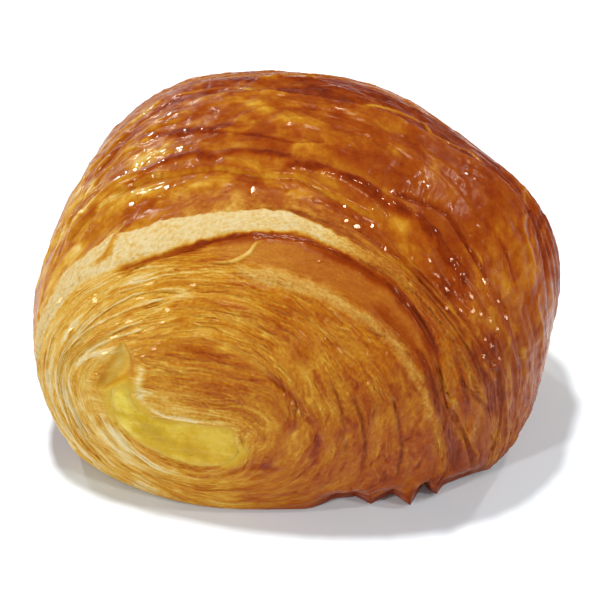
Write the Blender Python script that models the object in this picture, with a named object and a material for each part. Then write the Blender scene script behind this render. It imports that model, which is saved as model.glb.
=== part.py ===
"""Custard-filled danish pastry: a rolled, laminated pastry with a crescent of custard running through the roll.

Units are metres in the finished model; the sizes below are millimetres and are scaled by MM.
+Z is up. X runs across the roll, Y along it: the open end of the roll that shows most faces -Y.
The origin is on the surface the pastry stands on, under the middle of it.
"""

import math

import bmesh
import bpy
import numpy as np

MM = 0.001

# ---------------------------------------------------------------- sizes of the roll, mm and degrees
NEAR_REACH = 37.0  # from the widest ring to the near end, along the roll
FAR_REACH = 45.0  # from the widest ring to the far end
HALF_RIGHT = 47.5  # half width on the right
HALF_LEFT = 51.0  # half width on the left
HEIGHT = 62.0  # top of the crust
AXIS_NEAR = (-16.5, 24.5)  # middle of the spiral at the near end (across, up)
AXIS_MIDDLE = (0.0, 31.5)  # middle of the widest ring
AXIS_FAR = (-15.0, 30.0)  # middle of the spiral at the far end
SWELL = 0.79  # below 1 the ends are blunter than an ellipse's
ROUND_UPPER = 1.95  # superellipse power of the upper half of a ring
ROUND_LOWER = 2.3  # and of the lower half
SINK = 1.8  # how far the lower half would reach below the surface before it is pressed flat
SKEW = 0.07  # the rings lean along the roll from left to right
FOOT_ROUND = 1.5  # how softly the side turns into the flat foot
CENTRE_SHIFT = (2.10, -3.75)  # moves the middle of the footprint onto the origin

# ---------------------------------------------------------------- folds of the roll
# Each row is one wrap's edge: its angle from the near end, in degrees, at eight places round the
# ring (right, upper right, top, upper left, left, lower left, underside, lower right), and the
# height of its step in mm. A positive step rises away from the near end, a negative one falls.
FOLDS = (
    ((25.0, 29.5, 35.0, 24.0, 18.0, 14.0, 15.0, 21.0), 0.8),
    ((49.0, 52.0, 55.0, 45.0, 32.0, 27.0, 33.0, 52.0), 0.9),
    ((54.0, 61.0, 66.5, 53.5, 38.0, 35.0, 43.0, 60.0), 1.0),
    ((61.5, 65.5, 74.0, 63.5, 46.0, 43.0, 50.0, 68.0), 1.4),
    ((67.0, 76.0, 88.0, 84.0, 66.0, 58.0, 62.0, 74.0), 1.2),
    ((76.0, 87.0, 101.0, 98.0, 82.0, 74.0, 76.0, 80.0), 0.8),
    ((86.0, 105.5, 110.5, 107.0, 94.0, 88.0, 88.0, 88.0), -1.6),
    ((100.0, 118.0, 124.0, 121.0, 110.0, 104.0, 102.0, 101.0), -1.1),
    ((116.0, 131.0, 138.0, 136.0, 127.0, 121.0, 118.0, 116.0), -1.0),
    ((133.0, 145.0, 152.0, 151.0, 144.0, 139.0, 135.0, 133.0), -0.8),
)
LIP_HALF = 0.9  # half the width of a step, degrees
RINGS_BETWEEN = 1  # plain rings between one step and the next
SEGMENTS = 72  # round the roll
WAVE = 0.28  # slow waviness of the wraps, mm

# Bulges (+) and hollows (-) that make the loaf uneven: (degrees from the near end, degrees round, mm)
LUMPS = (
    (87, 342, 0.55),
    (75, 330, 0.6),
    (51, 321, -0.85),
    (33, 306, -0.95),
    (21, 270, 1.3),
    (33, 225, -0.55),
    (42, 198, 0.55),
    (90, 168, 0.4),
    (138, 102, -0.45),
    (135, 66, 1.1),
    (126, 42, -1.2),
    (111, 21, 1.1),
)
LUMP_WIDTH = 11.0
POCKET = (17.5, 130.0, 2.6, 3.2)  # air pocket above the custard: angles, depth and width in mm

# ---------------------------------------------------------------- custard
CUSTARD_MIDDLE = (-15.5, 29.5)  # the crescent is part of a ring round this point (across, up)
CUSTARD_RADII = (11.8, 11.0)
CUSTARD_FROM = 170.0
CUSTARD_TO = 331.0
CUSTARD_HALF = 5.4  # half thickness at the fullest point
CUSTARD_STEPS = 20
CUSTARD_RISE = (1.5, 5.5)  # how far the crescent moves across and up from the near to the far end
GAP = 0.3

# ---------------------------------------------------------------- torn points at the foot
# (tip across, tip along, heading in degrees from -Y towards +X, length, half width, half thickness)
TORN_POINTS = (
    (20.2, -29.0, 4.0, 8.0, 7.0, 1.9),
    (27.2, -28.9, 10.0, 11.0, 7.6, 2.2),
    (31.9, -24.2, 16.0, 9.5, 5.8, 2.1),
)


def signed_power(value, power):
    return np.sign(value) * np.abs(value) ** power


def roll(phi, theta):
    """Points on the plain roll, mm: phi from the near end's middle (0) to the far end's (pi), theta round it from +X through +Z."""
    s, across = np.cos(phi), np.abs(np.sin(phi)) ** SWELL
    reach = np.where(s > 0, NEAR_REACH, FAR_REACH)
    y = -reach * signed_power(s, SWELL)
    centre = [
        middle + (near - far) / 2 * s + ((near + far) / 2 - middle) * s * s
        for near, middle, far in zip(AXIS_NEAR, AXIS_MIDDLE, AXIS_FAR)
    ]
    c, n = np.cos(theta), np.sin(theta)
    power = 2.0 / np.where(n > 0, ROUND_UPPER, ROUND_LOWER)
    half = np.where(c > 0, HALF_RIGHT, HALF_LEFT)
    rise = np.where(n > 0, HEIGHT - AXIS_MIDDLE[1], AXIS_MIDDLE[1] * SINK)
    x = centre[0] + half * across * signed_power(c, power)
    z = centre[1] + rise * across * signed_power(n, power)
    y = y + 0.1 * SKEW * x * across**2
    return np.stack([x, y, z], -1)


def pressed(points):
    """Presses what would be below the surface flat onto it, and rounds the turn into it."""
    k = FOOT_ROUND
    z = points[..., 2]
    soft = (z + 3 * k) ** 2 / (12 * k)
    points[..., 2] = np.where(z > 3 * k, z, np.where(z < -3 * k, 0.0, soft))
    points[..., 2][points[..., 2] < 0.02] = 0.0
    points[..., 0] += CENTRE_SHIFT[0]
    points[..., 1] += CENTRE_SHIFT[1]
    return points


def outward(phi, theta):
    step = 1e-4
    here = roll(phi, theta)
    along = roll(phi + step, theta) - roll(phi - step, theta)
    round_ = roll(phi, theta + step) - roll(phi, theta - step)
    normal = np.cross(along, round_)
    length = np.linalg.norm(normal, axis=-1, keepdims=True)
    # At the two poles every direction round the ring meets, so the roll's own axis is outward.
    axis = np.stack([0 * phi, -np.sign(np.cos(phi)), 0 * phi], -1)
    normal = np.where(length > 1e-12, normal / np.maximum(length, 1e-12), axis)
    flip = np.sign((normal * (here - np.array([0, 0, 30.0]))).sum(-1, keepdims=True))
    return normal * np.where(flip == 0, 1, flip)


def round_the_ring(values, theta):
    """A smooth closed curve through eight values set at every 45 degrees."""
    spectrum = np.fft.rfft(values) / len(values)
    curve = np.full_like(theta, spectrum[0].real)
    for k in range(1, 5):
        weight = 1.0 if k == 4 else 2.0
        curve = curve + weight * (spectrum[k] * np.exp(1j * k * theta)).real
    return curve


def ring_plan():
    """(fold it belongs to, place between this fold and the next, offset in degrees, height) for each ring."""
    plan = []
    for i in range(len(FOLDS) + 1):
        before = FOLDS[i - 1][1] if i else 0.0
        after = FOLDS[i][1] if i < len(FOLDS) else 0.0
        start = max(before, 0.0) * 0.55 + min(before, 0.0) * 0.45
        end = -max(after, 0.0) * 0.45 - min(after, 0.0) * 0.55
        if i:
            plan.append((i, 0.0, LIP_HALF, start))
        extra = 3 if i in (0, len(FOLDS)) else RINGS_BETWEEN
        for j in range(extra):
            f = (j + 1) / (extra + 1)
            plan.append((i, f, 0.0, start + (end - start) * f))
        if i < len(FOLDS):
            plan.append((i, 1.0, -LIP_HALF, end))
    return plan


def lumps(phi, points):
    height = np.zeros(points.shape[:-1])
    for a, b, amount in LUMPS:
        middle = roll(np.array(math.radians(a)), np.array(math.radians(b)))
        away = ((points - middle) ** 2).sum(-1)
        height += amount * np.exp(-away / (2 * LUMP_WIDTH**2))
    a, b, depth, width = POCKET
    middle = roll(np.array(math.radians(a)), np.array(math.radians(b)))
    return height - depth * np.exp(-((points - middle) ** 2).sum(-1) / (2 * width**2))


def make_collection(name):
    group = bpy.data.collections.new(name)
    bpy.context.scene.collection.children.link(group)
    return group


def make_material(name, colour, roughness, subsurface):
    material = bpy.data.materials.new(name)
    material.use_nodes = True
    shader = material.node_tree.nodes["Principled BSDF"]
    shader.inputs["Base Color"].default_value = (*colour, 1.0)
    shader.inputs["Roughness"].default_value = roughness
    shader.inputs["Metallic"].default_value = 0.0
    shader.inputs["Subsurface Weight"].default_value = subsurface
    material.diffuse_color = (*colour, 1.0)
    return material


def add_object(name, mesh_builder, group, material=None):
    mesh = bpy.data.meshes.new(name)
    mesh_builder.to_mesh(mesh)
    mesh_builder.free()
    item = bpy.data.objects.new(name, mesh)
    group.objects.link(item)
    if material:
        mesh.materials.append(material)
    mesh.shade_smooth()
    mesh.set_sharp_from_angle(angle=math.radians(50))
    return item


def make_guide(item):
    item.hide_render = True
    item.display_type = "WIRE"
    return item


def build_roll(name, group, material=None):
    """The whole roll without its filling: a sphere whose rings are laid along the folds."""
    plan = ring_plan()
    rings = len(plan) + 1
    bm = bmesh.new()
    bmesh.ops.create_uvsphere(bm, u_segments=SEGMENTS, v_segments=rings, radius=1.0)
    bm.verts.ensure_lookup_table()
    sphere = np.array([v.co for v in bm.verts])
    ring = np.rint(np.arccos(np.clip(sphere[:, 2], -1, 1)) / math.pi * rings).astype(int)
    theta = np.arctan2(sphere[:, 1], sphere[:, 0])

    lines = [np.zeros_like(theta)]
    lines += [round_the_ring(np.array(values), theta) for values, _ in FOLDS]
    lines += [np.full_like(theta, 180.0)]
    phi = np.where(ring == rings, math.pi, 0.0)
    height = np.zeros_like(theta)
    for k, (i, f, offset, lift) in enumerate(plan, start=1):
        here = ring == k
        angle = lines[i] + (lines[i + 1] - lines[i]) * f + offset
        phi[here] = np.radians(angle[here])
        height[here] = lift

    base = roll(phi, theta)
    wave = WAVE * (
        np.sin(3 * theta + 4.1 * phi)
        + 0.8 * np.sin(5 * theta - 6.3 * phi + 1.0)
        + 0.6 * np.sin(9 * theta + 9.0 * phi + 2.0)
    )
    fade = np.clip(np.sin(phi) / 0.35, 0, 1)
    height = height * fade + wave * fade + lumps(phi, base)
    points = pressed(base + outward(phi, theta) * height[:, None]) * MM
    for vert, point in zip(bm.verts, points):
        vert.co = point

    # The foot is one flat face.
    foot = [f for f in bm.faces if all(v.co.z < 1e-7 for v in f.verts)]
    bmesh.ops.dissolve_faces(bm, faces=foot, use_verts=True)
    bmesh.ops.triangulate(bm, faces=[f for f in bm.faces if len(f.verts) == 4])
    bmesh.ops.recalc_face_normals(bm, faces=bm.faces)
    return add_object(name, bm, group, material)


def crescent(grow):
    """The custard's outline in the plane across the roll, mm, widened by grow all round."""
    upper, lower = [], []
    for j in range(CUSTARD_STEPS + 1):
        t = j / CUSTARD_STEPS
        angle = math.radians(CUSTARD_FROM + (CUSTARD_TO - CUSTARD_FROM) * t)
        half = CUSTARD_HALF * max(math.sin(math.pi * t**1.25), 0.0) ** 0.6
        half = max(half, 0.35) + grow
        ux, uz = math.cos(angle), math.sin(angle)
        x = CUSTARD_MIDDLE[0] + CUSTARD_RADII[0] * ux
        z = CUSTARD_MIDDLE[1] + CUSTARD_RADII[1] * uz
        if j in (0, CUSTARD_STEPS):
            sign = -1 if j == 0 else 1
            x, z = x - sign * uz * grow, z + sign * ux * grow
        upper.append((x - ux * half, z - uz * half))
        lower.append((x + ux * half, z + uz * half))
    return upper + lower[::-1]


def build_custard_bar(name, group, grow, material=None):
    """The crescent as a bar along the roll, longer than the roll at both ends."""
    outline = crescent(grow)
    curve = bpy.data.curves.new(name + "_outline", "CURVE")
    curve.dimensions = "2D"
    curve.fill_mode = "BOTH"
    reach = max(NEAR_REACH, FAR_REACH) + 8.0
    curve.extrude = reach * MM
    spline = curve.splines.new("POLY")
    spline.points.add(len(outline) - 1)
    for point, (x, z) in zip(spline.points, outline):
        point.co = (x * MM, z * MM, 0.0, 1.0)
    spline.use_cyclic_u = True
    flat = bpy.data.objects.new(name + "_outline", curve)
    group.objects.link(flat)
    graph = bpy.context.evaluated_depsgraph_get()
    mesh = bpy.data.meshes.new_from_object(flat.evaluated_get(graph))
    bpy.data.objects.remove(flat)

    bm = bmesh.new()
    bm.from_mesh(mesh)
    bpy.data.meshes.remove(mesh)
    bmesh.ops.remove_doubles(bm, verts=bm.verts, dist=1e-6)
    length = NEAR_REACH + FAR_REACH
    for vert in bm.verts:
        x, z, y = vert.co
        # The bar follows the middle of the spiral from one end of the roll to the other.
        f = (y / MM + NEAR_REACH) / length
        vert.co = (
            x + (CUSTARD_RISE[0] * f + CENTRE_SHIFT[0]) * MM,
            y + CENTRE_SHIFT[1] * MM,
            z + CUSTARD_RISE[1] * f * MM,
        )
    bmesh.ops.recalc_face_normals(bm, faces=bm.faces)
    return add_object(name, bm, group, material)


def build_torn_point(name, group, across, along, heading, length, half_width, half_thick):
    """One torn point of pastry lying at the foot: a cone pressed flat, pointing away from the roll."""
    bm = bmesh.new()
    bmesh.ops.create_cone(
        bm,
        cap_ends=True,
        segments=10,
        radius1=1.0,
        radius2=0.06,
        depth=1.0,
    )
    turn = math.radians(heading)
    across -= length * math.sin(turn)
    along += length * math.cos(turn)
    for vert in bm.verts:
        side, up, out = vert.co.x * half_width, vert.co.y * half_thick, (vert.co.z + 0.5) * length
        # The root rides up into the roll and the point droops to the surface.
        up = up + half_thick * (1 - out / length) + 0.6
        vert.co = (
            (across + CENTRE_SHIFT[0] + side * math.cos(turn) + out * math.sin(turn)) * MM,
            (along + CENTRE_SHIFT[1] + side * math.sin(turn) - out * math.cos(turn)) * MM,
            up * MM,
        )
    bmesh.ops.recalc_face_normals(bm, faces=bm.faces)
    return make_guide(add_object(name, bm, group))


def boolean(item, tool, operation):
    modifier = item.modifiers.new(operation.lower() + "_" + tool.name, "BOOLEAN")
    modifier.operation = operation
    modifier.solver = "EXACT"
    modifier.object = tool


def main():
    for item in list(bpy.data.objects):
        bpy.data.objects.remove(item, do_unlink=True)
    scene = bpy.context.scene
    scene.unit_settings.system = "METRIC"
    scene.unit_settings.scale_length = 1.0

    parts = make_collection("danish_pastry")
    cutters = make_collection("cutters")
    crust = make_material("baked_pastry", (0.60, 0.27, 0.06), 0.35, 0.1)
    filling = make_material("custard", (0.70, 0.55, 0.09), 0.3, 0.2)

    pastry = build_roll("pastry_roll", parts, crust)
    whole = make_guide(build_roll("whole_roll", cutters))
    channel = make_guide(build_custard_bar("custard_channel", cutters, GAP))
    for number, sizes in enumerate(TORN_POINTS):
        boolean(pastry, build_torn_point(f"torn_point_{number}", cutters, *sizes), "UNION")
    boolean(pastry, channel, "DIFFERENCE")

    custard = build_custard_bar("custard_filling", parts, 0.0, filling)
    boolean(custard, whole, "INTERSECT")


main()
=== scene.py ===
"""Looks of the custard-filled danish pastry.

The pastry is one dense skin laid out along the wraps of the roll: its rows follow the folds, so relief and
bake marks run the way the layers run. Marks that the photograph shows are strokes, given by a few points in
the photograph's own 600 x 600 frame and laid on the roll's surface under them; everything else comes from
noise that is stretched along the layers. All lengths here are millimetres until MM scales them.
"""

import math

import bpy
import numpy as np
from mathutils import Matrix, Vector
from mathutils.bvhtree import BVHTree


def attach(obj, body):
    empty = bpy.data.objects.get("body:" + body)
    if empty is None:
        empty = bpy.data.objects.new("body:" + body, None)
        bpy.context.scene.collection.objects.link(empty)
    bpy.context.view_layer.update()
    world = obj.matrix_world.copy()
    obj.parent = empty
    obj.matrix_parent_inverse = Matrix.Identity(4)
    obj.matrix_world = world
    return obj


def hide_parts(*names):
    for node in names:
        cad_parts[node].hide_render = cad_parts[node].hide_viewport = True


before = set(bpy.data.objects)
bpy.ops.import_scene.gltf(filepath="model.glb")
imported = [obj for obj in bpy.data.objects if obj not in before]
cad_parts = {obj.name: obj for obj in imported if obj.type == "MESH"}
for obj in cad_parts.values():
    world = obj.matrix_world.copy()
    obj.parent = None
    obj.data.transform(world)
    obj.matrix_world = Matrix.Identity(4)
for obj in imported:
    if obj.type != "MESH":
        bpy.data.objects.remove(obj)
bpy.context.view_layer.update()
MM = 0.001

# ------------------------------------------------------------------ the plain roll, as in the model
NEAR_REACH, FAR_REACH = 37.0, 45.0
HALF_RIGHT, HALF_LEFT = 47.5, 51.0
HEIGHT = 62.0
AXIS_NEAR, AXIS_MIDDLE, AXIS_FAR = (-16.5, 24.5), (0.0, 31.5), (-15.0, 30.0)
SWELL = 0.79
ROUND_UPPER, ROUND_LOWER = 1.95, 2.3
SINK = 1.8
SKEW = 0.07
FOOT_ROUND = 1.5
CENTRE_SHIFT = (2.10, -3.75)
LUMPS = (
    (87, 342, 0.55), (75, 330, 0.6), (51, 321, -0.85), (33, 306, -0.95), (21, 270, 1.3), (33, 225, -0.55),
    (42, 198, 0.55), (90, 168, 0.4), (138, 102, -0.45), (135, 66, 1.1), (126, 42, -1.2), (111, 21, 1.1),
)
LUMP_WIDTH = 11.0

# The photograph's camera: it looks down on the pastry from in front and a little to the right.
VIEW_AZIMUTH, VIEW_ELEVATION = 15.0, 43.0
VIEW_DISTANCE, VIEW_FOCAL_PX = 500.0, 2550.0
VIEW_AIM = (-1.75, -1.5, 28.0)  # right of and above the point at this height over the form's own middle

# ------------------------------------------------------------------ lines that the layers follow
# Each line is one layer edge: how far along the layers it lies (mm over the top), and its angle from the near
# end, at angles round the ring (0 right, 90 top, 180 left, 270 underside).
FLOW = (
    (19.0, ((3, 14.5), (33, 18.3), (55, 21.9), (75, 24.1), (90, 24.3), (103, 21.0), (119, 18.0), (141, 16.5),
            (163, 14.5), (185, 12.5), (207, 11.0), (240, 10.5), (272, 11.0), (296, 12.0), (320, 13.3), (345, 13.2))),
    (27.0, ((11, 24.5), (30, 25.3), (57, 31.3), (73, 34.7), (92, 34.9), (109, 30.5), (125, 28.0), (145, 26.0),
            (165, 23.6), (185, 21.5), (202, 19.5), (219, 17.0), (237, 14.6), (257, 14.0), (278, 14.6), (305, 17.0),
            (325, 21.5), (342, 24.0), (358, 25.0))),
    (39.6, ((3.5, 39.9), (34, 42.1), (52.5, 44.9), (69, 47.9), (85, 49.5), (97.5, 50.3), (108, 48.3), (119, 44.7),
            (131, 39.3), (143, 33.5), (165, 28.5), (185, 27.0), (202, 25.5), (219, 24.0), (237, 22.5), (257, 22.5),
            (278, 25.0), (300, 31.0), (320, 38.0), (335, 41.0), (346, 41.0))),
    (44.5, ((5.5, 48.5), (22, 49.7), (39, 51.7), (50, 52.5), (61.5, 53.9), (78, 54.6), (95, 56.1), (107, 54.5),
            (120, 50.5), (135, 44.0), (150, 38.0), (165, 34.5), (185, 32.0), (202, 30.0), (219, 28.5), (237, 28.0),
            (257, 29.0), (278, 34.0), (300, 43.0), (320, 52.0), (334, 54.0), (350, 51.0))),
    (52.0, ((17.5, 53.3), (30, 56.3), (43, 60.5), (51, 62.7), (59, 65.3), (70, 66.6), (81, 66.7), (91, 66.7),
            (98.5, 65.1), (104, 61.8), (114, 58.5), (121.5, 56.5), (131, 54.3), (142, 51.2), (155.5, 45.7),
            (170, 41.0), (185, 38.5), (202, 36.5), (219, 35.0), (237, 34.5), (257, 36.0), (278, 41.0), (300, 49.0),
            (320, 56.0), (334, 58.0), (347, 56.4), (358, 53.5))),
    (58.5, ((9.5, 61.3), (26, 62.3), (40, 64.3), (52.5, 67.5), (65, 70.5), (76.5, 72.7), (84.5, 73.7), (99.5, 73.7),
            (108, 71.9), (118, 71.0), (125.5, 69.0), (131, 65.6), (138, 62.0), (147, 55.5), (160, 47.7), (172, 44.5),
            (185, 43.0), (202, 42.0), (219, 41.0), (237, 41.0), (257, 44.0), (278, 50.0), (300, 59.0), (320, 68.0),
            (334, 71.0), (346.5, 67.3), (356, 63.7))),
    (67.5, ((10, 66.0), (30, 67.5), (41, 68.3), (50, 70.5), (58.5, 73.2), (66, 76.3), (73, 79.5), (80, 81.7),
            (86, 83.5), (95, 85.5), (104.5, 85.9), (110, 86.5), (116, 86.3), (123, 85.7), (130.5, 84.2), (137.5, 81.3),
            (145, 79.5), (154, 76.0), (164.5, 71.7), (170, 69.5), (185, 63.0), (202, 59.5), (219, 58.0), (237, 57.0),
            (257, 58.0), (278, 61.0), (300, 66.5), (320, 73.0), (337, 75.5), (349.5, 71.0), (357.5, 68.3))),
    (78.0, ((10, 75.5), (25, 77.7), (33, 80.1), (44.5, 86.0), (53, 90.0), (61, 94.0), (72, 98.5), (90, 100.0),
            (105, 99.5), (119, 98.3), (127, 97.5), (134.5, 95.0), (140, 92.5), (148.3, 88.6), (156, 85.0),
            (170, 79.5), (185, 76.0), (202, 74.5), (219, 73.5), (237, 73.0), (257, 73.0), (278, 74.0), (300, 77.0),
            (320, 80.5), (340, 80.5), (357, 76.5))),
    (88.0, ((9, 90.0), (18, 92.1), (23, 96.0), (28, 99.6), (35, 103.5), (43, 105.6), (55.5, 106.4), (67.5, 108.6),
            (80.5, 109.7), (97, 110.3), (112, 111.7), (125.5, 109.5), (133, 106.5), (140, 103.5), (150, 98.0),
            (160, 94.0), (175, 90.0), (190, 87.5), (202, 86.0), (219, 85.0), (237, 84.0), (257, 84.0), (278, 85.0),
            (300, 86.0), (320, 88.0), (340, 89.0), (357, 89.0))),
    (98.0, ((0, 100.0), (22, 106.0), (45, 118.0), (67, 122.0), (90, 123.5), (112, 123.5), (135, 120.0),
            (157, 113.0), (180, 108.0), (202, 104.5), (225, 103.0), (270, 102.0), (315, 101.0))),
    (109.0, ((0, 115.0), (22, 121.0), (45, 130.5), (67, 136.0), (90, 138.0), (112, 138.5), (135, 135.0),
             (157, 130.0), (180, 126.0), (202, 123.0), (225, 121.0), (270, 118.0), (315, 116.0))),
    (121.0, ((0, 133.0), (22, 139.0), (45, 145.0), (67, 149.5), (90, 152.0), (112, 152.5), (135, 150.5),
             (157, 147.0), (180, 144.0), (202, 141.0), (225, 139.0), (270, 136.0), (315, 134.0))),
    (130.0, ((0, 155.0), (45, 161.0), (90, 165.0), (135, 165.0), (180, 162.0), (225, 160.0), (270, 158.0),
             (315, 156.0))),
)
FLOW_END = 140.0


def signed_power(value, power):
    return np.sign(value) * np.abs(value) ** power


def roll(phi, theta):
    """Points on the plain roll, before it is pressed onto its foot."""
    s, across = np.cos(phi), np.abs(np.sin(phi)) ** SWELL
    reach = np.where(s > 0, NEAR_REACH, FAR_REACH)
    y = -reach * signed_power(s, SWELL)
    centre = [
        middle + (near - far) / 2 * s + ((near + far) / 2 - middle) * s * s
        for near, middle, far in zip(AXIS_NEAR, AXIS_MIDDLE, AXIS_FAR)
    ]
    c, n = np.cos(theta), np.sin(theta)
    power = 2.0 / np.where(n > 0, ROUND_UPPER, ROUND_LOWER)
    half = np.where(c > 0, HALF_RIGHT, HALF_LEFT)
    rise = np.where(n > 0, HEIGHT - AXIS_MIDDLE[1], AXIS_MIDDLE[1] * SINK)
    x = centre[0] + half * across * signed_power(c, power)
    z = centre[1] + rise * across * signed_power(n, power)
    y = y + 0.1 * SKEW * x * across**2
    return np.stack([x + CENTRE_SHIFT[0], y + CENTRE_SHIFT[1], z], -1)


def outward(phi, theta):
    step = 1e-4
    along = roll(phi + step, theta) - roll(phi - step, theta)
    round_ = roll(phi, theta + step) - roll(phi, theta - step)
    normal = np.cross(round_, along)
    length = np.linalg.norm(normal, axis=-1, keepdims=True)
    return -normal / np.maximum(length, 1e-12)


def press(points):
    """Presses what would be below the surface flat onto it."""
    k = FOOT_ROUND
    z = points[..., 2]
    soft = (z + 3 * k) ** 2 / (12 * k)
    points[..., 2] = np.where(z > 3 * k, z, np.where(z < -3 * k, 0.0, soft))
    return points


def lumps(points):
    height = np.zeros(points.shape[:-1])
    for a, b, amount in LUMPS:
        middle = roll(np.array(math.radians(a)), np.array(math.radians(b)))
        height += amount * np.exp(-((points - middle) ** 2).sum(-1) / (2 * LUMP_WIDTH**2))
    return height


# ------------------------------------------------------------------ noise
def hashed(ix, iy, seed):
    h = ix.astype(np.uint32) * np.uint32(374761393) + iy.astype(np.uint32) * np.uint32(668265263)
    h = h + np.uint32((seed * 2246822519) & 0xFFFFFFFF)
    h = (h ^ (h >> np.uint32(13))) * np.uint32(1274126177)
    h = (h ^ (h >> np.uint32(15))) * np.uint32(2654435761)
    return (h ^ (h >> np.uint32(16))).astype(np.float64) / 4294967296.0


def noise(x, y, seed=0):
    """Gradient noise in about -1 to 1."""
    x, y = x + 17.31 + 0.377 * seed, y + 11.73 + 0.619 * seed
    fx, fy = np.floor(x), np.floor(y)
    ix, iy = fx.astype(np.int64), fy.astype(np.int64)
    dx, dy = x - fx, y - fy
    u = dx * dx * dx * (dx * (dx * 6 - 15) + 10)
    v = dy * dy * dy * (dy * (dy * 6 - 15) + 10)
    out = []
    for oy in (0, 1):
        row = []
        for ox in (0, 1):
            angle = hashed((ix + ox) & 0xFFFFFFFF, (iy + oy) & 0xFFFFFFFF, seed) * (2 * math.pi)
            row.append(np.cos(angle) * (dx - ox) + np.sin(angle) * (dy - oy))
        out.append(row[0] + (row[1] - row[0]) * u)
    return (out[0] + (out[1] - out[0]) * v) * 1.5


def fractal(x, y, octaves=3, seed=0, gain=0.5):
    total, weight, scale = 0.0, 1.0, 1.0
    for k in range(octaves):
        total = total + weight * noise(x * scale, y * scale, seed + 31 * k)
        weight *= gain
        scale *= 2.03
    return total


def joined(function):
    """A pattern of (along, layer) that has no seam on the underside."""
    columns = np.flatnonzero(np.minimum(np.abs(DEG[0] - 270), 360 - np.abs(DEG[0] - 270)) < 62)
    weight = 1 - smooth(np.minimum(np.abs(DEG[0, columns] - 270), 360 - np.abs(DEG[0, columns] - 270)), 25, 60)
    first = function(ALONG, LAYER, slice(None))
    second = function(UNDER[:, columns], LAYER[:, columns], columns)
    several = isinstance(first, tuple)
    for a, b in zip(first if several else (first,), second if several else (second,)):
        a[:, columns] = a[:, columns] * (1 - weight) + b * weight
    return first


def smooth(value, low, high):
    t = np.clip((value - low) / (high - low), 0.0, 1.0)
    return t * t * (3 - 2 * t)


def bump(value, middle, half):
    """1 at middle, falling smoothly to 0 at half away."""
    return np.clip(1 - ((value - middle) / half) ** 2, 0, 1) ** 2


# ------------------------------------------------------------------ the photograph's camera
def view_axes():
    a, e = math.radians(VIEW_AZIMUTH), math.radians(VIEW_ELEVATION)
    back = np.array([math.sin(a) * math.cos(e), -math.cos(a) * math.cos(e), math.sin(e)])
    right = np.array([math.cos(a), math.sin(a), 0.0])
    return right, np.cross(back, right), back


LAMPS = (
    # name, azimuth, elevation, brightness, half angle
    ("key_top", -112, 81, 0.91, 3.0),
    ("fill_front_left", -38, 13, 0.58, 2.0),
    ("fill_right", 74, 26, 0.27, 3.5),
    ("glint_back_left", -131, 22, 0.27, 1.6),
    ("glint_back_right", 152, 42, 0.19, 1.6),
    ("glint_right", 92, 40, 0.19, 1.6),
    ("glint_right_low", 76, 7, 0.08, 1.6),
    ("glint_front", 8, 10, 0.15, 1.6),
    ("sheen_back_left", -135, 9, 0.05, 18.0),
)


def lamp_way(azimuth, elevation):
    a, e = math.radians(azimuth), math.radians(elevation)
    return np.array([math.sin(a) * math.cos(e), -math.cos(a) * math.cos(e), math.sin(e)])


RIGHT, UP, BACK = view_axes()
AIM = np.array([CENTRE_SHIFT[0], CENTRE_SHIFT[1], VIEW_AIM[2]]) + RIGHT * VIEW_AIM[0] + UP * VIEW_AIM[1]
EYE = AIM + BACK * VIEW_DISTANCE


def make_ground():
    """The plain roll as a search tree, for laying photograph points on it."""
    rows, cols = 240, 480
    phi, theta = np.meshgrid(
        np.linspace(1e-3, math.pi - 1e-3, rows), np.linspace(0, 2 * math.pi, cols, endpoint=False), indexing="ij"
    )
    base = roll(phi, theta)
    points = press(base + outward(phi, theta) * lumps(base)[..., None]).reshape(-1, 3)
    index = np.arange(rows * cols).reshape(rows, cols)
    nxt = np.roll(index, -1, axis=1)
    quads = np.stack([index[:-1], index[1:], nxt[1:], nxt[:-1]], -1).reshape(-1, 4)
    return BVHTree.FromPolygons(points.tolist(), quads.tolist())


GROUND = make_ground()


def lay(px, py):
    """Where the surface lies under a point of the photograph, and its outward direction."""
    ray = -BACK + RIGHT * (px - 300.0) / VIEW_FOCAL_PX + UP * (300.0 - py) / VIEW_FOCAL_PX
    ray = ray / np.linalg.norm(ray)
    hit, normal, _, _ = GROUND.ray_cast(Vector(EYE), Vector(ray))
    if hit is None:
        # Just outside the outline: the nearest surface.
        far = EYE + ray * (VIEW_DISTANCE - 10.0)
        hit, normal, _, _ = GROUND.find_nearest(Vector(far))
    normal = np.array(normal)
    if normal @ BACK < 0:
        normal = -normal
    return np.array(hit), normal


def spline(points, step=2.0):
    """A smooth curve through the given rows of numbers, sampled about every step in its first two."""
    p = np.array(points, float)
    if len(p) == 2:
        p = np.array([p[0], (p[0] + p[1]) / 2, p[1]])
    ends = np.vstack([2 * p[0] - p[1], p, 2 * p[-1] - p[-2]])
    out = []
    for i in range(1, len(ends) - 2):
        a, b, c, d = ends[i - 1 : i + 3]
        n = max(2, int(math.hypot(*(c - b)[:2]) / step))
        t = (np.arange(n) / n)[:, None]
        out.append(0.5 * (2 * b + (c - a) * t + (2 * a - 5 * b + 4 * c - d) * t**2 + (3 * b - a - 3 * c + d) * t**3))
    out.append(p[-1:])
    return np.vstack(out)


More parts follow.
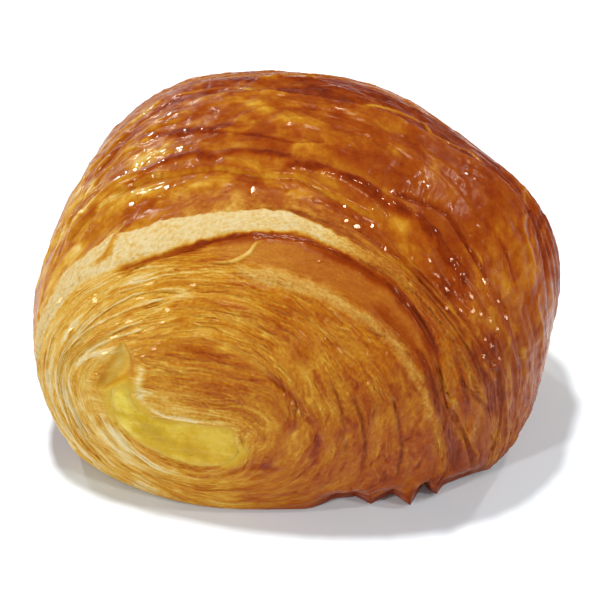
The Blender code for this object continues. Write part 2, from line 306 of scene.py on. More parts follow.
class Stroke:
    """A curve laid on the roll by photograph points, and what lies near it."""

    def __init__(self, points, step=2.0):
        curve = spline(points, step)
        laid = [lay(x, y) for x, y in curve[:, :2]]
        self.at = np.array([a for a, _ in laid])
        self.up = np.array([b for _, b in laid])
        self.extra = curve[:, 2:]
        along = np.gradient(self.at, axis=0)
        self.dir = along / np.maximum(np.linalg.norm(along, axis=1, keepdims=True), 1e-9)
        side = np.cross(self.up, self.dir)
        self.side = side / np.maximum(np.linalg.norm(side, axis=1, keepdims=True), 1e-9)
        gaps = np.linalg.norm(np.diff(self.at, axis=0), axis=1)
        self.run = np.concatenate([[0], np.cumsum(gaps)])
        self.length = self.run[-1]

    def near(self, reach):
        """(indexes, distance along, signed distance across, nearest sample) of the skin's points within reach."""
        low, high = self.at.min(0) - reach, self.at.max(0) + reach
        inside = np.flatnonzero(
            (SKIN[:, 0] > low[0]) & (SKIN[:, 0] < high[0]) & (SKIN[:, 1] > low[1]) & (SKIN[:, 1] < high[1])
            & (SKIN[:, 2] > low[2]) & (SKIN[:, 2] < high[2])
        )
        found, best, gap = [], [], []
        for part in np.array_split(inside, max(1, len(inside) // 20000)):
            away = ((SKIN[part][:, None, :] - self.at[None]) ** 2).sum(-1)
            k = away.argmin(1)
            d = np.sqrt(away[np.arange(len(part)), k])
            keep = d < reach
            found.append(part[keep])
            best.append(k[keep])
            gap.append(d[keep])
        idx, k = np.concatenate(found), np.concatenate(best)
        delta = SKIN[idx] - self.at[k]
        along = self.run[k] + (delta * self.dir[k]).sum(-1)
        across = (delta * self.side[k]).sum(-1)
        return idx, along, across, k


# ------------------------------------------------------------------ the skin's grid
def flow_table(theta_deg):
    """Angle from the near end of every flow line at the given angles round the ring."""
    fine = np.arange(-360, 720, 1.0)
    table = [np.zeros_like(theta_deg)]
    for _, knots in FLOW:
        a = np.array([k[0] for k in knots], float)
        v = np.array([k[1] for k in knots], float)
        order = np.argsort(a)
        a, v = a[order], v[order]
        line = np.interp(fine, np.concatenate([a - 360, a, a + 360]), np.tile(v, 3))
        kernel = np.exp(-0.5 * (np.arange(-12, 13) / 4.0) ** 2)
        line = np.convolve(line, kernel / kernel.sum(), mode="same")
        table.append(np.interp(theta_deg, fine, line))
    table.append(np.full_like(theta_deg, 180.0))
    table = np.array(table)
    for k in range(1, len(table)):
        table[k] = np.maximum(table[k], table[k - 1] + 0.8)
    return table


def spread(parts):
    """Row places from (start, end, spacing) runs."""
    out = []
    for start, end, gap in parts:
        n = max(1, int(round((end - start) / gap)))
        out.append(start + (end - start) * np.arange(n) / n)
    return np.concatenate(out + [[parts[-1][1]]])


FINE = 1.0
COLUMNS = 880
ROW_PLACES = spread(
    [(0.5, 30.0, 0.18 * FINE), (30.0, 44.0, 0.18 * FINE), (44.0, 60.0, 0.2 * FINE), (60.0, 88.0, 0.25 * FINE),
     (88.0, 110.0, 0.36 * FINE), (110.0, FLOW_END - 0.5, 0.4 * FINE)]
)
density = np.interp(np.arange(-90, 271), [-90, -40, -25, 195, 215, 270], [0.42, 0.42, 1.0, 1.0, 0.42, 0.42])
cumulative = np.concatenate([[0], np.cumsum((density[1:] + density[:-1]) / 2)])
THETA_DEG = np.interp(np.arange(COLUMNS) / COLUMNS * cumulative[-1], cumulative, np.arange(-90, 271))
FLOW_PLACES = np.array([0.0] + [row[0] for row in FLOW] + [FLOW_END])
table = flow_table(np.mod(THETA_DEG, 360))
PHI = np.stack([np.interp(ROW_PLACES, FLOW_PLACES, table[:, j]) for j in range(COLUMNS)], 1)
PHI = np.radians(PHI)
TH = np.radians(np.mod(THETA_DEG, 360))[None, :] + 0 * PHI
DEG = np.mod(THETA_DEG, 360)[None, :] + 0 * PHI
LAYER = ROW_PLACES[:, None] + 0 * PHI
SHAPE = PHI.shape
BASE = roll(PHI, TH)
NORMAL = outward(PHI, TH)
gap = np.linalg.norm(np.diff(BASE, axis=1), axis=-1)
ALONG = np.concatenate([np.zeros((SHAPE[0], 1)), np.cumsum(gap, axis=1)], 1)
top_column = int(np.argmin(np.abs(THETA_DEG - 90)))
ROUND = ALONG[:, -1:] + np.linalg.norm(BASE[:, :1] - BASE[:, -1:], axis=-1)
ALONG = ALONG - ALONG[:, top_column : top_column + 1]
UNDER = np.where(ALONG > 0, ALONG - ROUND, ALONG) + 0.5 * ROUND + 400.0
BASE = BASE + NORMAL * lumps(BASE)[..., None]
SKIN = BASE.reshape(-1, 3)

HEIGHT_MAP = np.zeros(SHAPE)  # mm out of the plain roll
BAKE = np.zeros(SHAPE)  # 0 raw cream to 1 dark brown
CRUMB = np.zeros(SHAPE)  # bare sugary crumb
SHINE = np.zeros(SHAPE)  # 0 matte to 1 wet glaze
YELLOW = np.zeros(SHAPE)  # stained by custard
flat = lambda field: field.reshape(-1)

# ------------------------------------------------------------------ layers of the near and far ends
near_side = 1 - smooth(LAYER, 56, 60)
far_side = smooth(LAYER, 98, 103)
ends = near_side + far_side
crust = 1 - ends


def ridge(value, half):
    """1 along the lines where value crosses zero."""
    return np.clip(1 - np.abs(value) / half, 0, 1)


def layered(u, v, seed, crumbly):
    """Soft layers along u: (height, tone, pale crumbly edges). crumbly is how many bare edges show."""
    v = v + 1.3 * noise(u / 22, v / 9, seed) + 0.55 * noise(u / 7, v / 3.2, seed + 1) + 0.2 * noise(u / 2.6, v / 1.6, seed + 13)
    wide = noise(u / 18, v / 3.0, seed + 2) + 0.5 * noise(u / 9, v / 1.7, seed + 3)
    middle = noise(u / 5, v / 0.95, seed + 4)
    fine = noise(u / 2.2, v / 0.5, seed + 5)
    grain = noise(u / 0.7, v / 0.45, seed + 6)
    here = smooth(noise(u / 8, v / 4, seed + 7), -0.25, 0.3)
    there = smooth(noise(u / 6, v / 3, seed + 8), -0.1, 0.4)
    thin = ridge(noise(u / 12, v / 1.3, seed + 9), 0.13) * here
    broad = ridge(noise(u / 26, v / 2.6, seed + 10), 0.25) * smooth(noise(u / 10, v / 6, seed + 11), -0.3, 0.25) * crumbly
    dark = ridge(noise(u / 13, v / 1.9, seed + 12), 0.12) * there
    scorched = smooth(noise(u / 9, v / 2.2, seed + 14) + 0.3 * noise(u / 2, v / 0.9, seed + 15), 0.3, 0.5)
    height = 0.30 * wide + 0.13 * middle + 0.06 * fine + 0.18 * thin + 0.32 * broad - 0.26 * dark
    tone = 0.11 * wide + 0.08 * middle + 0.07 * fine + 0.10 * grain - 0.17 * thin - 0.26 * broad + 0.14 * dark
    tone = tone + 0.12 * scorched
    return height, tone, broad


px_x = (BASE - EYE) @ RIGHT
px_y = (BASE - EYE) @ UP
px_d = -((BASE - EYE) @ BACK)
SEEN_X = 300.0 + VIEW_FOCAL_PX * px_x / px_d
SEEN_Y = 300.0 - VIEW_FOCAL_PX * px_y / px_d
FACING = (NORMAL * BACK).sum(-1)
crumbly = 0.25 + 0.75 * (1 - smooth(SEEN_X, 120, 240))
ring = joined(lambda u, v, c: layered(u, v, 11, crumbly[:, c]))
strip = smooth(LAYER, 44.8, 46.2) * (1 - smooth(LAYER, 50.8, 51.8))
strip *= smooth(SEEN_X, 190, 250) * (1 - smooth(SEEN_X, 400, 450)) * (BASE[..., 2] > 10)
HEIGHT_MAP += ring[0] * ends * (1 - 0.75 * strip)
BAKE += (ring[1] * (1 - 0.8 * strip) + strip * (0.07 - 0.08 * smooth(SEEN_X, 320, 400))) * ends
CRUMB += ring[2] * ends * (1 - strip) + 0.5 * strip * ends

# ------------------------------------------------------------------ where the bake lies, with painted shade towards the right
side_right = smooth(BASE[..., 0], -30, 42)
low = 1 - smooth(BASE[..., 2], 4, 34)
# The near end darkens from left to right across the view and towards its lower right: partly its bake, partly painted
# shade.
near_bake_and_shade = 0.20 + 0.25 * smooth(SEEN_X, 70, 210) + 0.18 * smooth(SEEN_X, 230, 430) + 0.10 * low * side_right
near_bake_and_shade += 0.07 * smooth(SEEN_X, 225, 290) * smooth(SEEN_Y, 400, 470) - 0.04 * smooth(SEEN_Y, 450, 485) * (1 - smooth(SEEN_X, 210, 260))
near_bake_and_shade += 0.05 * joined(lambda u, v, c: fractal(u / 11, v / 5, 3, 51))
inner = 1 - smooth(LAYER, 22, 30)
near_bake_and_shade += 0.03 * inner * smooth(BASE[..., 2], 26, 40)
far_bake = 0.42 + 0.2 * smooth(BASE[..., 2], 10, 55) + 0.07 * joined(lambda u, v, c: fractal(u / 11, v / 5, 3, 71))

# Crust relief: long swells that stay golden, with red-brown furrows between them, and blisters.
streaky = smooth(SEEN_X, 330, 450) * smooth(SEEN_Y, 150, 230)
swell = joined(lambda u, v, c: fractal(u / 15, v / 4.2, 3, 81))
streak = joined(lambda u, v, c: noise(u / 34, v / 2.3, 84) + 0.5 * noise(u / 20, v / 1.2, 85))
wrinkle = (0.38 * swell) * (1 - 0.6 * streaky) + 0.46 * streak * (0.2 + 0.8 * streaky)
creases = joined(lambda u, v, c: ridge(noise(u / 26, v / 3.1, 86), 0.10) * smooth(noise(u / 12, v / 5, 87), -0.2, 0.3))
mottled = joined(lambda u, v, c: fractal(u / 5, v / 3.2, 3, 88))
large = joined(lambda u, v, c: smooth(noise(u / 12, v / 5.5, 141) + 0.35 * noise(u / 3.2, v / 2.0, 142), -0.14, 0.14) - 0.5)
small = joined(lambda u, v, c: smooth(noise(u / 5, v / 2.8, 143) + 0.4 * noise(u / 1.7, v / 1.1, 144), -0.14, 0.14) - 0.5)
pores = joined(lambda u, v, c: noise(u / 1.3, v / 1.0, 145) + 0.6 * noise(u / 0.7, v / 0.55, 146))
blisters = joined(lambda u, v, c: fractal(u / 4.2, v / 3.0, 3, 147))
HEIGHT_MAP += (0.8 * wrinkle + 0.10 * mottled - 0.14 * creases - 0.10 * large - 0.08 * small) * crust
HEIGHT_MAP += (0.10 * blisters + 0.006 * pores) * crust
crust_bake_and_shade = 0.60 - 0.12 * wrinkle + 0.12 * mottled + 0.05 * creases + 0.13 * large + 0.10 * small + 0.05 * pores
# The crust darkens towards the right of the view: partly its bake, partly painted shade.
crust_bake_and_shade += 0.12 * smooth(SEEN_X, 230, 350) + 0.06 * smooth(SEEN_X, 340, 420) * (1 - smooth(SEEN_Y, 190, 250))
crust_bake_and_shade += 0.10 * joined(lambda u, v, c: fractal(u / 22, v / 7, 2, 89))
crust_bake_and_shade = 0.80 - np.log1p(np.exp((0.80 - crust_bake_and_shade) / 0.06)) * 0.06
crust_bake_and_shade += 0.07 * smooth(LAYER, 74, 92) * smooth(DEG, 30, 60) * (1 - smooth(DEG, 120, 150))
flap = smooth(LAYER, 88, 89) * (1 - smooth(LAYER, 97, 104))
BAKE += near_bake_and_shade * near_side + far_bake * far_side + crust_bake_and_shade * crust
BAKE += 0.10 * flap * smooth(BASE[..., 2], 20, 45)
# The crust's upper left limb is painted paler: painted sheen.
BAKE -= 0.15 * crust * (1 - smooth(SEEN_X, 70, 130)) * smooth(BASE[..., 2], 8, 20)
BAKE += 0.05 * near_side * (1 - smooth(SEEN_X, 100, 130)) * smooth(SEEN_Y, 270, 310)
SHINE += (0.68 + 0.3 * joined(lambda u, v, c: noise(u / 9, v / 2, 90))) * ends
SHINE += (0.74 + 0.25 * joined(lambda u, v, c: noise(u / 7, v / 4, 148))) * crust
wet = joined(lambda u, v, c: smooth(noise(u / 3.2, v / 1.8, 149), 0.12, 0.45))
HEIGHT_MAP += 0.05 * joined(lambda u, v, c: noise(u / 0.8, v / 0.5, 150)) * wet * ends
SHINE += 0.35 * wet * ends * (1 - strip)
SHINE -= 0.3 * strip * ends

# Steps of the wraps: the surface rises into each outer wrap's lip and sags behind it.
def step_at(place, rise, back, width=0.5, strength=1.0):
    """A lip that faces the near end where rise > 0, or the far end where rise < 0."""
    d = LAYER - place
    if rise > 0:
        shape = np.where(d > 0, np.exp(-np.maximum(d, 0) / back), 0.0) * smooth(d, -width * 0.2, width)
        dip = 0.35 * np.exp(-((d + 0.5) / 0.7) ** 2)
    else:
        shape = np.where(d < 0, np.exp(np.minimum(d, 0) / back), 0.0) * smooth(-d, -width * 0.2, width)
        dip = 0.35 * np.exp(-((d - 0.5) / 0.7) ** 2)
    return abs(rise) * (shape - dip) * strength


HEIGHT_MAP += step_at(88.0, -1.2, 7.0, 0.8, 0.55 + 0.45 * smooth(DEG, 15, 40) * (1 - smooth(DEG, 120, 150)))
for place, rise in ((98.0, -0.9), (109.0, -0.9), (121.0, -0.7)):
    wander = place + joined(lambda u, v, c: 1.9 * noise(u / 24, 0 * u + place, 7) + 0.5 * noise(u / 5, 0 * u + place, 8))
    HEIGHT_MAP += step_at(wander, rise, 6.0, 0.7)
    BAKE += 0.14 * np.exp(-((LAYER - wander - 0.8) / 0.6) ** 2)

# ------------------------------------------------------------------ marks that the photograph shows
def add(field, idx, value):
    flat(field)[idx] += value


def blend(field, idx, value, weight):
    f = flat(field)
    f[idx] = f[idx] * (1 - weight) + value * weight


def mark(points, half, bake=0.0, height=0.0, shine=None, crumb=None, ragged=0.35, soft=0.6, seed=0, taper=True, lip=0.0, lip_back=3.0):
    """One stroke: a ridge or groove of this half width with its own bake, and a lip towards its left if asked."""
    stroke = Stroke(points)
    reach = max(half * 2.2, lip_back * 2.2 if lip else 0) + 0.6
    idx, along, across, k = stroke.near(reach)
    width = half * (1 + ragged * noise(along / 4.0 + seed * 3.7, across * 0 + seed + 0.5, 91))
    width *= 1 + ragged * 0.6 * noise(along / 1.2, across * 0 + seed + 0.5, 92)
    if taper:
        fade = smooth(along, -half, 3.5) * (1 - smooth(along, stroke.length - 3.5, stroke.length + half))
    else:
        fade = smooth(along, -half, half) * (1 - smooth(along, stroke.length - half, stroke.length + half))
    across = across + 0.3 * half * noise(along / 5, across * 0 + seed + 0.5, 93)
    body = 1 - smooth(np.abs(across) / np.maximum(width, 0.05), 1 - soft, 1 + soft)
    body = body * fade
    add(BAKE, idx, bake * body)
    add(HEIGHT_MAP, idx, height * body)
    if lip:
        d = across if lip > 0 else -across
        rise = np.where(d > 0, np.exp(-d / lip_back), 0.0) * smooth(d, -0.1, 0.45)
        add(HEIGHT_MAP, idx, abs(lip) * (rise - 0.4 * np.exp(-(((d + 0.35) / 0.5) ** 2))) * fade)
    if shine is not None:
        blend(SHINE, idx, shine, body)
    if crumb is not None:
        blend(CRUMB, idx, crumb, body)
    return idx, along, across, body


def ribbon(lower, upper, edge=0.35, ragged=0.3, seed=0):
    """The strip between two strokes: (indexes, inside 0..1, place from the lower edge 0 to the upper 1, along)."""
    a, b = Stroke(lower), Stroke(upper)
    inside = {}
    reach = 9.0
    ia, la, va, _ = a.near(reach)
    ib, lb, vb, _ = b.near(reach)
    both, x, y = np.intersect1d(ia, ib, return_indices=True)
    down, up_ = va[x], -vb[y]
    wobble = ragged * noise(la[x] / 2.2, 0 * la[x] + seed + 0.5, 95) + ragged * 0.6 * noise(la[x] / 0.7, 0 * la[x] + seed + 0.5, 96)
    down, up_ = down + wobble, up_ + ragged * noise(la[x] / 1.7, 0 * la[x] + seed + 9.5, 97)
    depth = np.minimum(down, up_)
    ends_ = smooth(la[x], -0.5, 1.5) * (1 - smooth(la[x], a.length - 1.5, a.length + 0.5))
    t = np.clip(down / np.maximum(down + up_, 1e-3), 0, 1)
    return both, smooth(depth, -edge, edge) * ends_, t, la[x]


# The tongue of fine layers: they run level above the custard and turn down round its right end.
TONGUE_FOOT = ((90, 408), (140, 416), (190, 425), (238, 434))
tongue = Stroke(TONGUE_FOOT, 1.0)
core = np.flatnonzero(flat(LAYER) < 27)
away = np.concatenate([
    ((SKIN[part][:, None, :] - tongue.at[None]) ** 2).sum(-1).argmin(1) for part in np.array_split(core, 12)
])
delta = SKIN[core] - tongue.at[away]
off = np.sqrt((delta**2).sum(-1))
above = (delta * tongue.side[away]).sum(-1)
beyond = (delta * tongue.dir[away]).sum(-1)
last = away == len(tongue.at) - 1
turn = np.where(last, np.arctan2(beyond, above), 0.0)
along_t = tongue.run[away] + np.where(last, turn * 9.0, beyond)
weight = np.where(last, 1 - smooth(turn, 2.0, 2.7), smooth(above, -3.0, -1.5))
off = np.where(last, off, above) + np.where(last, 0.0, 0.00025 * np.clip(above, 0, 20) * (along_t - tongue.length) ** 2)
weight *= 1 - smooth(flat(LAYER)[core], 19.5, 24)
tongue_look = layered(along_t, 0.9 * off + 40, 311, 0.15)
for field, value, scale in ((HEIGHT_MAP, ring[0], 0), (BAKE, ring[1], 1), (CRUMB, ring[2], 2)):
    amount = 0.6 if scale == 0 else 1.0
    flat(field)[core] += weight * (amount * tongue_look[scale] - flat(value)[core])
fine_lines = noise(along_t / 14, off / 0.42, 331)
flat(BAKE)[core] += weight * 0.09 * fine_lines
flat(HEIGHT_MAP)[core] += weight * 0.05 * fine_lines
flat(BAKE)[core] += weight * (0.13 * smooth(off, 5.5, 11.5) - 0.04)

# The crust is dry and finely crumbled just above the bare band.
dry = smooth(LAYER, 57, 58.5) * (1 - smooth(LAYER, 62, 65)) * smooth(SEEN_X, 150, 190) * (1 - smooth(SEEN_X, 330, 400))
SHINE -= 0.45 * dry
CRUMB += 0.5 * dry
BAKE += dry * (-0.05 + 0.08 * noise(ALONG / 0.9, LAYER / 0.7, 123))

# Pale bare band under the crust, wide on the left, thin on the right.
BAND_LOWER = ((37, 362), (42, 338), (52, 318), (64, 300), (73, 289), (87, 277), (104, 272), (123, 264), (142, 258),
              (164, 251), (185, 244), (202, 239), (237, 232), (271, 230), (299, 231), (319, 240), (346, 252),
              (371, 268), (393, 277), (408, 289), (422, 300), (436, 317), (448, 333), (460, 352), (472, 373),
              (479, 391), (487, 407))
BAND_UPPER = ((35, 350), (38, 325), (47, 303), (56, 289), (64, 273), (78, 260), (95, 246), (113, 234), (126, 232),
              (142, 228), (159, 221), (185, 216), (211, 212), (237, 210), (271, 209), (299, 214), (319, 224),
              (346, 238), (371, 251), (393, 264), (408, 278), (422, 295), (436, 312), (448, 329), (460, 348),
              (472, 369), (480, 388), (488, 405))
# Second, fuzzier one further in.
BAND2_LOWER = ((232, 268), (250, 281), (267, 284), (293, 291), (319, 300), (343, 312), (367, 327), (388, 345),
               (402, 365), (414, 383), (423, 402), (429, 420), (434, 437), (438, 455), (437, 476))
BAND2_UPPER = ((234, 262), (250, 269), (267, 269), (293, 276), (319, 284), (343, 298), (367, 314), (388, 327),
               (402, 346), (414, 364), (424, 381), (431, 399), (438, 417), (444, 437), (447, 455), (444, 478))

idx, inside, t, run = ribbon(BAND_LOWER, BAND_UPPER, 0.5, 0.4, 1)
right_fade = 1 - 0.45 * smooth(SKIN[idx, 0], 8, 24)
narrowing = smooth(flat(SEEN_X)[idx], 290, 390)
blend(BAKE, idx, 0.08 + 0.13 * (1 - right_fade) * 2 + 0.06 * noise(run / 3, t * 3, 101) + 0.2 * narrowing, inside * right_fade)
blend(CRUMB, idx, 1.0 - 0.45 * narrowing, inside)
blend(SHINE, idx, 0.1, inside)
u, v = flat(ALONG)[idx], flat(LAYER)[idx]
sugar = noise(u / 0.9, v / 0.75, 111) + 0.6 * noise(u / 0.5, v / 0.42, 112)
blend(HEIGHT_MAP, idx, 0.0, 0.6 * inside)
add(HEIGHT_MAP, idx, inside * (0.75 * t - 0.08 + 0.4 * np.sin(math.pi * t) + 0.15 * sugar + 0.10 * noise(u / 5, v / 2.5, 113)))
add(BAKE, idx, inside * (-0.12 * sugar + 0.04))
idx, inside, t, run = ribbon(BAND2_LOWER, BAND2_UPPER, 0.7, 0.4, 2)
fade = inside * (0.55 + 0.25 * noise(run / 6, t * 2, 103)) * (1 - 0.3 * smooth(SKIN[idx, 0], 14, 32))
blend(BAKE, idx, 0.22, fade)
blend(CRUMB, idx, 1.0, inside)
blend(SHINE, idx, 0.15, inside)
u, v = flat(ALONG)[idx], flat(LAYER)[idx]
sugar = noise(u / 0.9, v / 0.75, 114) + 0.6 * noise(u / 0.5, v / 0.42, 115)
add(HEIGHT_MAP, idx, inside * (0.5 * t + 0.15 + 0.09 * sugar))
add(BAKE, idx, -0.06 * sugar * inside)

# Reddish line under the pale band.
mark(((110, 273), (135, 263), (160, 256), (185, 248), (213, 240), (240, 237), (278, 236), (298, 240), (318, 248), (338, 257), (357, 266),
      (383, 284), (399, 297), (414, 315), (430, 341), (445, 367)), 0.95, 0.24, -0.12, 0.9, 0.0, seed=141, soft=0.9)
# Amber strand across the left of the pale band.
mark(((137, 212), (126, 224), (116, 236), (111, 248), (104, 258), (90, 267)), 0.55, 0.30, 0.35, 0.5, 0.0, seed=3)
# Dark line at the foot of the pale band.
mark(((110, 272), (140, 262), (165, 254), (190, 247), (215, 239), (236, 234), (250, 233), (276, 234), (302, 237), (327, 246),
      (346, 255), (367, 266), (384, 277), (398, 291), (410, 305), (420, 317), (431, 333), (436, 343)), 0.6, 0.19, -0.3, 0.8, 0.0, seed=4)
mark(((384, 279), (398, 293), (410, 307), (418, 318)), 0.5, 0.2, -0.1, 1.0, 0.0, seed=5)
# Curl of a torn sheet.
mark(((268, 239), (256, 243), (249, 252), (238, 259), (228, 262), (205, 262)), 0.32, -0.30, 0.45, 0.3, 0.3, seed=6)
# Fold line below the dark brown ridge, with a shiny edge whose paleness is a painted highlight.
mark(((61, 243), (82, 220), (102, 203), (120, 188), (137, 181), (151, 175), (168, 173), (185, 170), (204, 168), (221, 167),
      (238, 170), (259, 173), (280, 175), (300, 177), (320, 188), (346, 201), (380, 221)), 0.3, -0.16, 0.1, 1.0, 0.0,
     seed=7, lip=0.8, lip_back=3.0)
mark(((90, 205), (120, 180), (161, 163), (176, 156), (195, 153), (211, 155), (230, 151), (254, 151), (281, 155), (301, 160)), 1.0, 0.22, 0.35, 1.0, seed=8)
mark(((280, 165), (301, 165), (325, 167), (342, 174), (357, 181), (373, 191), (387, 201), (405, 212), (423, 224), (435, 235),
      (444, 249), (455, 262), (468, 285)), 1.25, 0.24, 0.55, 1.0, seed=9)
mark(((389, 192), (405, 196), (423, 201), (441, 208), (451, 217), (459, 230), (468, 244), (478, 258), (487, 274), (494, 290)), 0.5, 0.22, -0.4, 0.9, seed=10)
mark(((482, 217), (494, 231), (505, 249), (512, 267), (519, 292)), 0.45, 0.16, -0.35, 0.9, seed=11)
mark(((138, 136), (151, 130), (168, 123), (182, 119), (192, 112)), 0.35, -0.10, 0.3, 1.0, seed=12, lip=0.4)
mark(((135, 140), (155, 134), (180, 130), (205, 128), (219, 125), (237, 124), (254, 122)), 1.0, 0.20, 0.15, 1.0, seed=13)
mark(((205, 111), (216, 108), (223, 113)), 0.9, 0.18, 0.1, seed=14)
mark(((199, 131), (237, 131), (271, 136), (300, 141), (330, 140)), 0.35, 0.16, -0.2, seed=15)
# Lip where the crust ends at the back, and the darker flap beyond it.
mark(((110, 140), (133, 122), (154, 108), (173, 97), (182, 94), (202, 89), (228, 86), (242, 87), (254, 90), (266, 93)), 0.3, -0.22, 0.1, 1.0, seed=16)
mark(((173, 88), (194, 81), (219, 79), (245, 80), (262, 84)), 1.2, 0.20, 0.0, 0.9, seed=17)
mark(((252, 84), (275, 78), (300, 76), (316, 80)), 1.0, -0.16, 0.5, 0.9, seed=18)
mark(((254, 89), (275, 89), (300, 88), (328, 93), (341, 95), (351, 103)), 0.9, 0.14, -0.16, 0.5, seed=19)
mark(((357, 105), (373, 105), (391, 109), (409, 116), (423, 122), (432, 131), (441, 137), (453, 143), (468, 150), (476, 156), (489, 167)), 0.34, -0.42, 0.2, 1.0, seed=20)
mark(((325, 78), (351, 83), (378, 93), (405, 104), (423, 113), (437, 124), (455, 135)), 2.0, 0.16, -0.06, 0.45, seed=21)
mark(((464, 143), (474, 151), (484, 161)), 0.7, -0.25, 0.12, 0.8, seed=22)
mark(((503, 167), (518, 181), (525, 196), (526, 212), (523, 226), (530, 248), (535, 265), (544, 274)), 0.4, -0.16, 0.15, 0.9, seed=23)
mark(((528, 183), (537, 199), (541, 217), (539, 235), (541, 253)), 0.9, 0.16, -0.25, 0.8, seed=24)
# Pale raised streaks along the upper left limb, each with a darker groove beside it; the streaks' paleness is partly
# painted sheen.
for k, line in enumerate((
    ((71, 206), (90, 170), (113, 146), (137, 125)), ((78, 203), (99, 175), (126, 151), (147, 143)),
    ((87, 167), (104, 146), (126, 127), (151, 108), (171, 94)), ((59, 243), (70, 225), (87, 208), (102, 193), (120, 181), (142, 170)),
    ((50, 262), (60, 232), (74, 205)), ((64, 236), (80, 213), (98, 196)), ((84, 190), (100, 165), (118, 150)),
)):
    mark(line, 0.42, -0.20, 0.28, 0.9, seed=30 + k)
    mark([(x + 4, y + 4) for x, y in line], 0.4, 0.12, -0.2, 0.9, seed=40 + k)
# Golden swells on the crust.
for k, (line, half) in enumerate((
    (((291, 144), (305, 142), (319, 149)), 1.2), (((328, 162), (344, 165), (360, 174), (373, 183), (385, 191)), 1.3),
    (((357, 203), (376, 210), (394, 221), (416, 235)), 1.6), (((230, 112), (250, 105), (275, 108)), 1.8),
    (((120, 172), (140, 160), (165, 150), (190, 146)), 1.3), (((95, 205), (120, 197), (150, 190), (190, 184), (235, 184)), 1.5),
    (((270, 120), (290, 118), (310, 124)), 1.6), (((215, 160), (240, 161), (262, 164)), 0.8),
)):
    mark(line, half, -0.17, 0.25, 1.0, seed=50 + k, soft=0.9)
# Dark, reddish, glossy places.
for k, (line, half, amount) in enumerate((
    (((422, 269), (436, 276), (450, 286), (462, 296)), 1.5, 0.13), (((476, 336), (488, 346), (498, 358), (508, 362)), 1.9, 0.16),
    (((465, 352), (481, 372), (491, 389), (496, 415)), 0.9, 0.2), (((326, 341), (336, 346), (346, 350)), 0.7, 0.3),
    (((295, 352), (310, 360)), 0.6, 0.2), (((384, 352), (393, 358)), 0.5, 0.25), (((171, 321), (190, 321)), 0.45, 0.28),
    (((371, 303), (396, 329), (415, 352), (433, 377), (441, 407), (453, 439), (456, 470)), 1.3, 0.16),
    (((240, 470), (262, 468), (285, 474)), 0.8, 0.2), (((218, 476), (233, 473), (246, 466)), 0.5, 0.18),
)):
    mark(line, half, amount, -0.15, 1.0, seed=60 + k, soft=0.9)
mark(((262, 372), (267, 378), (276, 383), (294, 400), (307, 420), (315, 436), (319, 453), (314, 466), (302, 480)), 0.8, 0.15, -0.35, 0.95, 0.0, seed=70, soft=0.9)
for k, (line, half, amount, deep) in enumerate((
    (((436, 361), (443, 383), (449, 407), (468, 442), (474, 461), (477, 474)), 0.5, 0.12, -0.6),
    (((477, 418), (472, 432), (472, 445), (479, 455), (480, 464)), 0.3, -0.08, 0.5),
    (((460, 383), (471, 392), (483, 404), (492, 419)), 0.4, 0.1, -0.45),
    (((499, 363), (503, 396), (503, 424), (497, 443), (492, 460)), 0.5, 0.1, -0.5),
    (((455, 350), (464, 384), (472, 407)), 0.45, 0.12, -0.5),
    (((408, 300), (425, 328), (440, 356)), 0.4, 0.1, -0.35),
    (((350, 392), (362, 420), (366, 450), (362, 478)), 0.45, 0.08, -0.45),
    (((330, 380), (340, 405), (346, 430), (345, 460)), 0.4, 0.07, -0.4),
    (((392, 392), (400, 425), (402, 455), (396, 482)), 0.45, 0.1, -0.5),
)):
    mark(line, half, amount, deep, 0.6, seed=80 + k)

# Tongue of fine layers above the custard: pale tip and pale inner edge.
mark(((140, 362), (141, 374), (139, 386), (139, 397), (144, 405)), 0.95, -0.34, 0.35, 0.6, 0.25, seed=95, soft=0.9)
mark(((144, 406), (166, 417), (196, 422), (213, 424), (236, 425)), 0.5, -0.22, 0.3, 0.6, 0.1, seed=96, soft=0.8)
mark(((234, 430), (238, 444), (243, 457)), 0.5, -0.24, 0.3, 0.5, 0.1, seed=97)
mark(((97, 423), (105, 436), (118, 449), (135, 462), (160, 470), (188, 477), (206, 479)), 1.3, -0.12, 0.3, 0.8, 0.0, seed=98, soft=0.95)
mark(((212, 348), (224, 349), (232, 351)), 0.6, -0.3, 0.2, 0.5, seed=99, soft=0.8)

# ------------------------------------------------------------------ custard's bed and the air pocket beside it
CUSTARD_OUTER = ((116, 381), (109, 395), (112, 412), (125, 432), (150, 449), (180, 461), (205, 466), (228, 463), (241, 453))
CUSTARD_INNER = ((131, 387), (132, 400), (140, 411), (160, 420), (190, 425), (215, 428), (232, 432), (237, 443))


def band_of(outer, inner, reach=8.0):
    a, b = Stroke(outer, 1.0), Stroke(inner, 1.0)
    ia, la, va, _ = a.near(reach)
    ib, lb, vb, _ = b.near(reach)
    both, x, y = np.intersect1d(ia, ib, return_indices=True)
    return both, va[x], vb[y], la[x], a


both, va, vb, la, outer_stroke = band_of(CUSTARD_OUTER, CUSTARD_INNER)
depth = np.minimum(va, -vb) * 1.0
ends_ = np.minimum(la, outer_stroke.length - la)
ragged_edge = 0.3 * noise(la / 2.5, 0 * la + 0.5, 121) + 0.15 * noise(la / 0.9, 0 * la + 0.5, 122)
near_edge = np.minimum(depth, ends_ * 0.8) + ragged_edge
level = smooth(near_edge, -2.0, -0.1)
blend(HEIGHT_MAP, both, 0.0, 0.93 * level)
bed = smooth(near_edge, 0.1, 1.5)
blend(HEIGHT_MAP, both, -2.6, bed)
rim = smooth(near_edge, -3.0, 0.3)
blend(YELLOW, both, 0.95, rim)
blend(BAKE, both, 0.22, 0.7 * rim)
blend(SHINE, both, 0.95, rim)
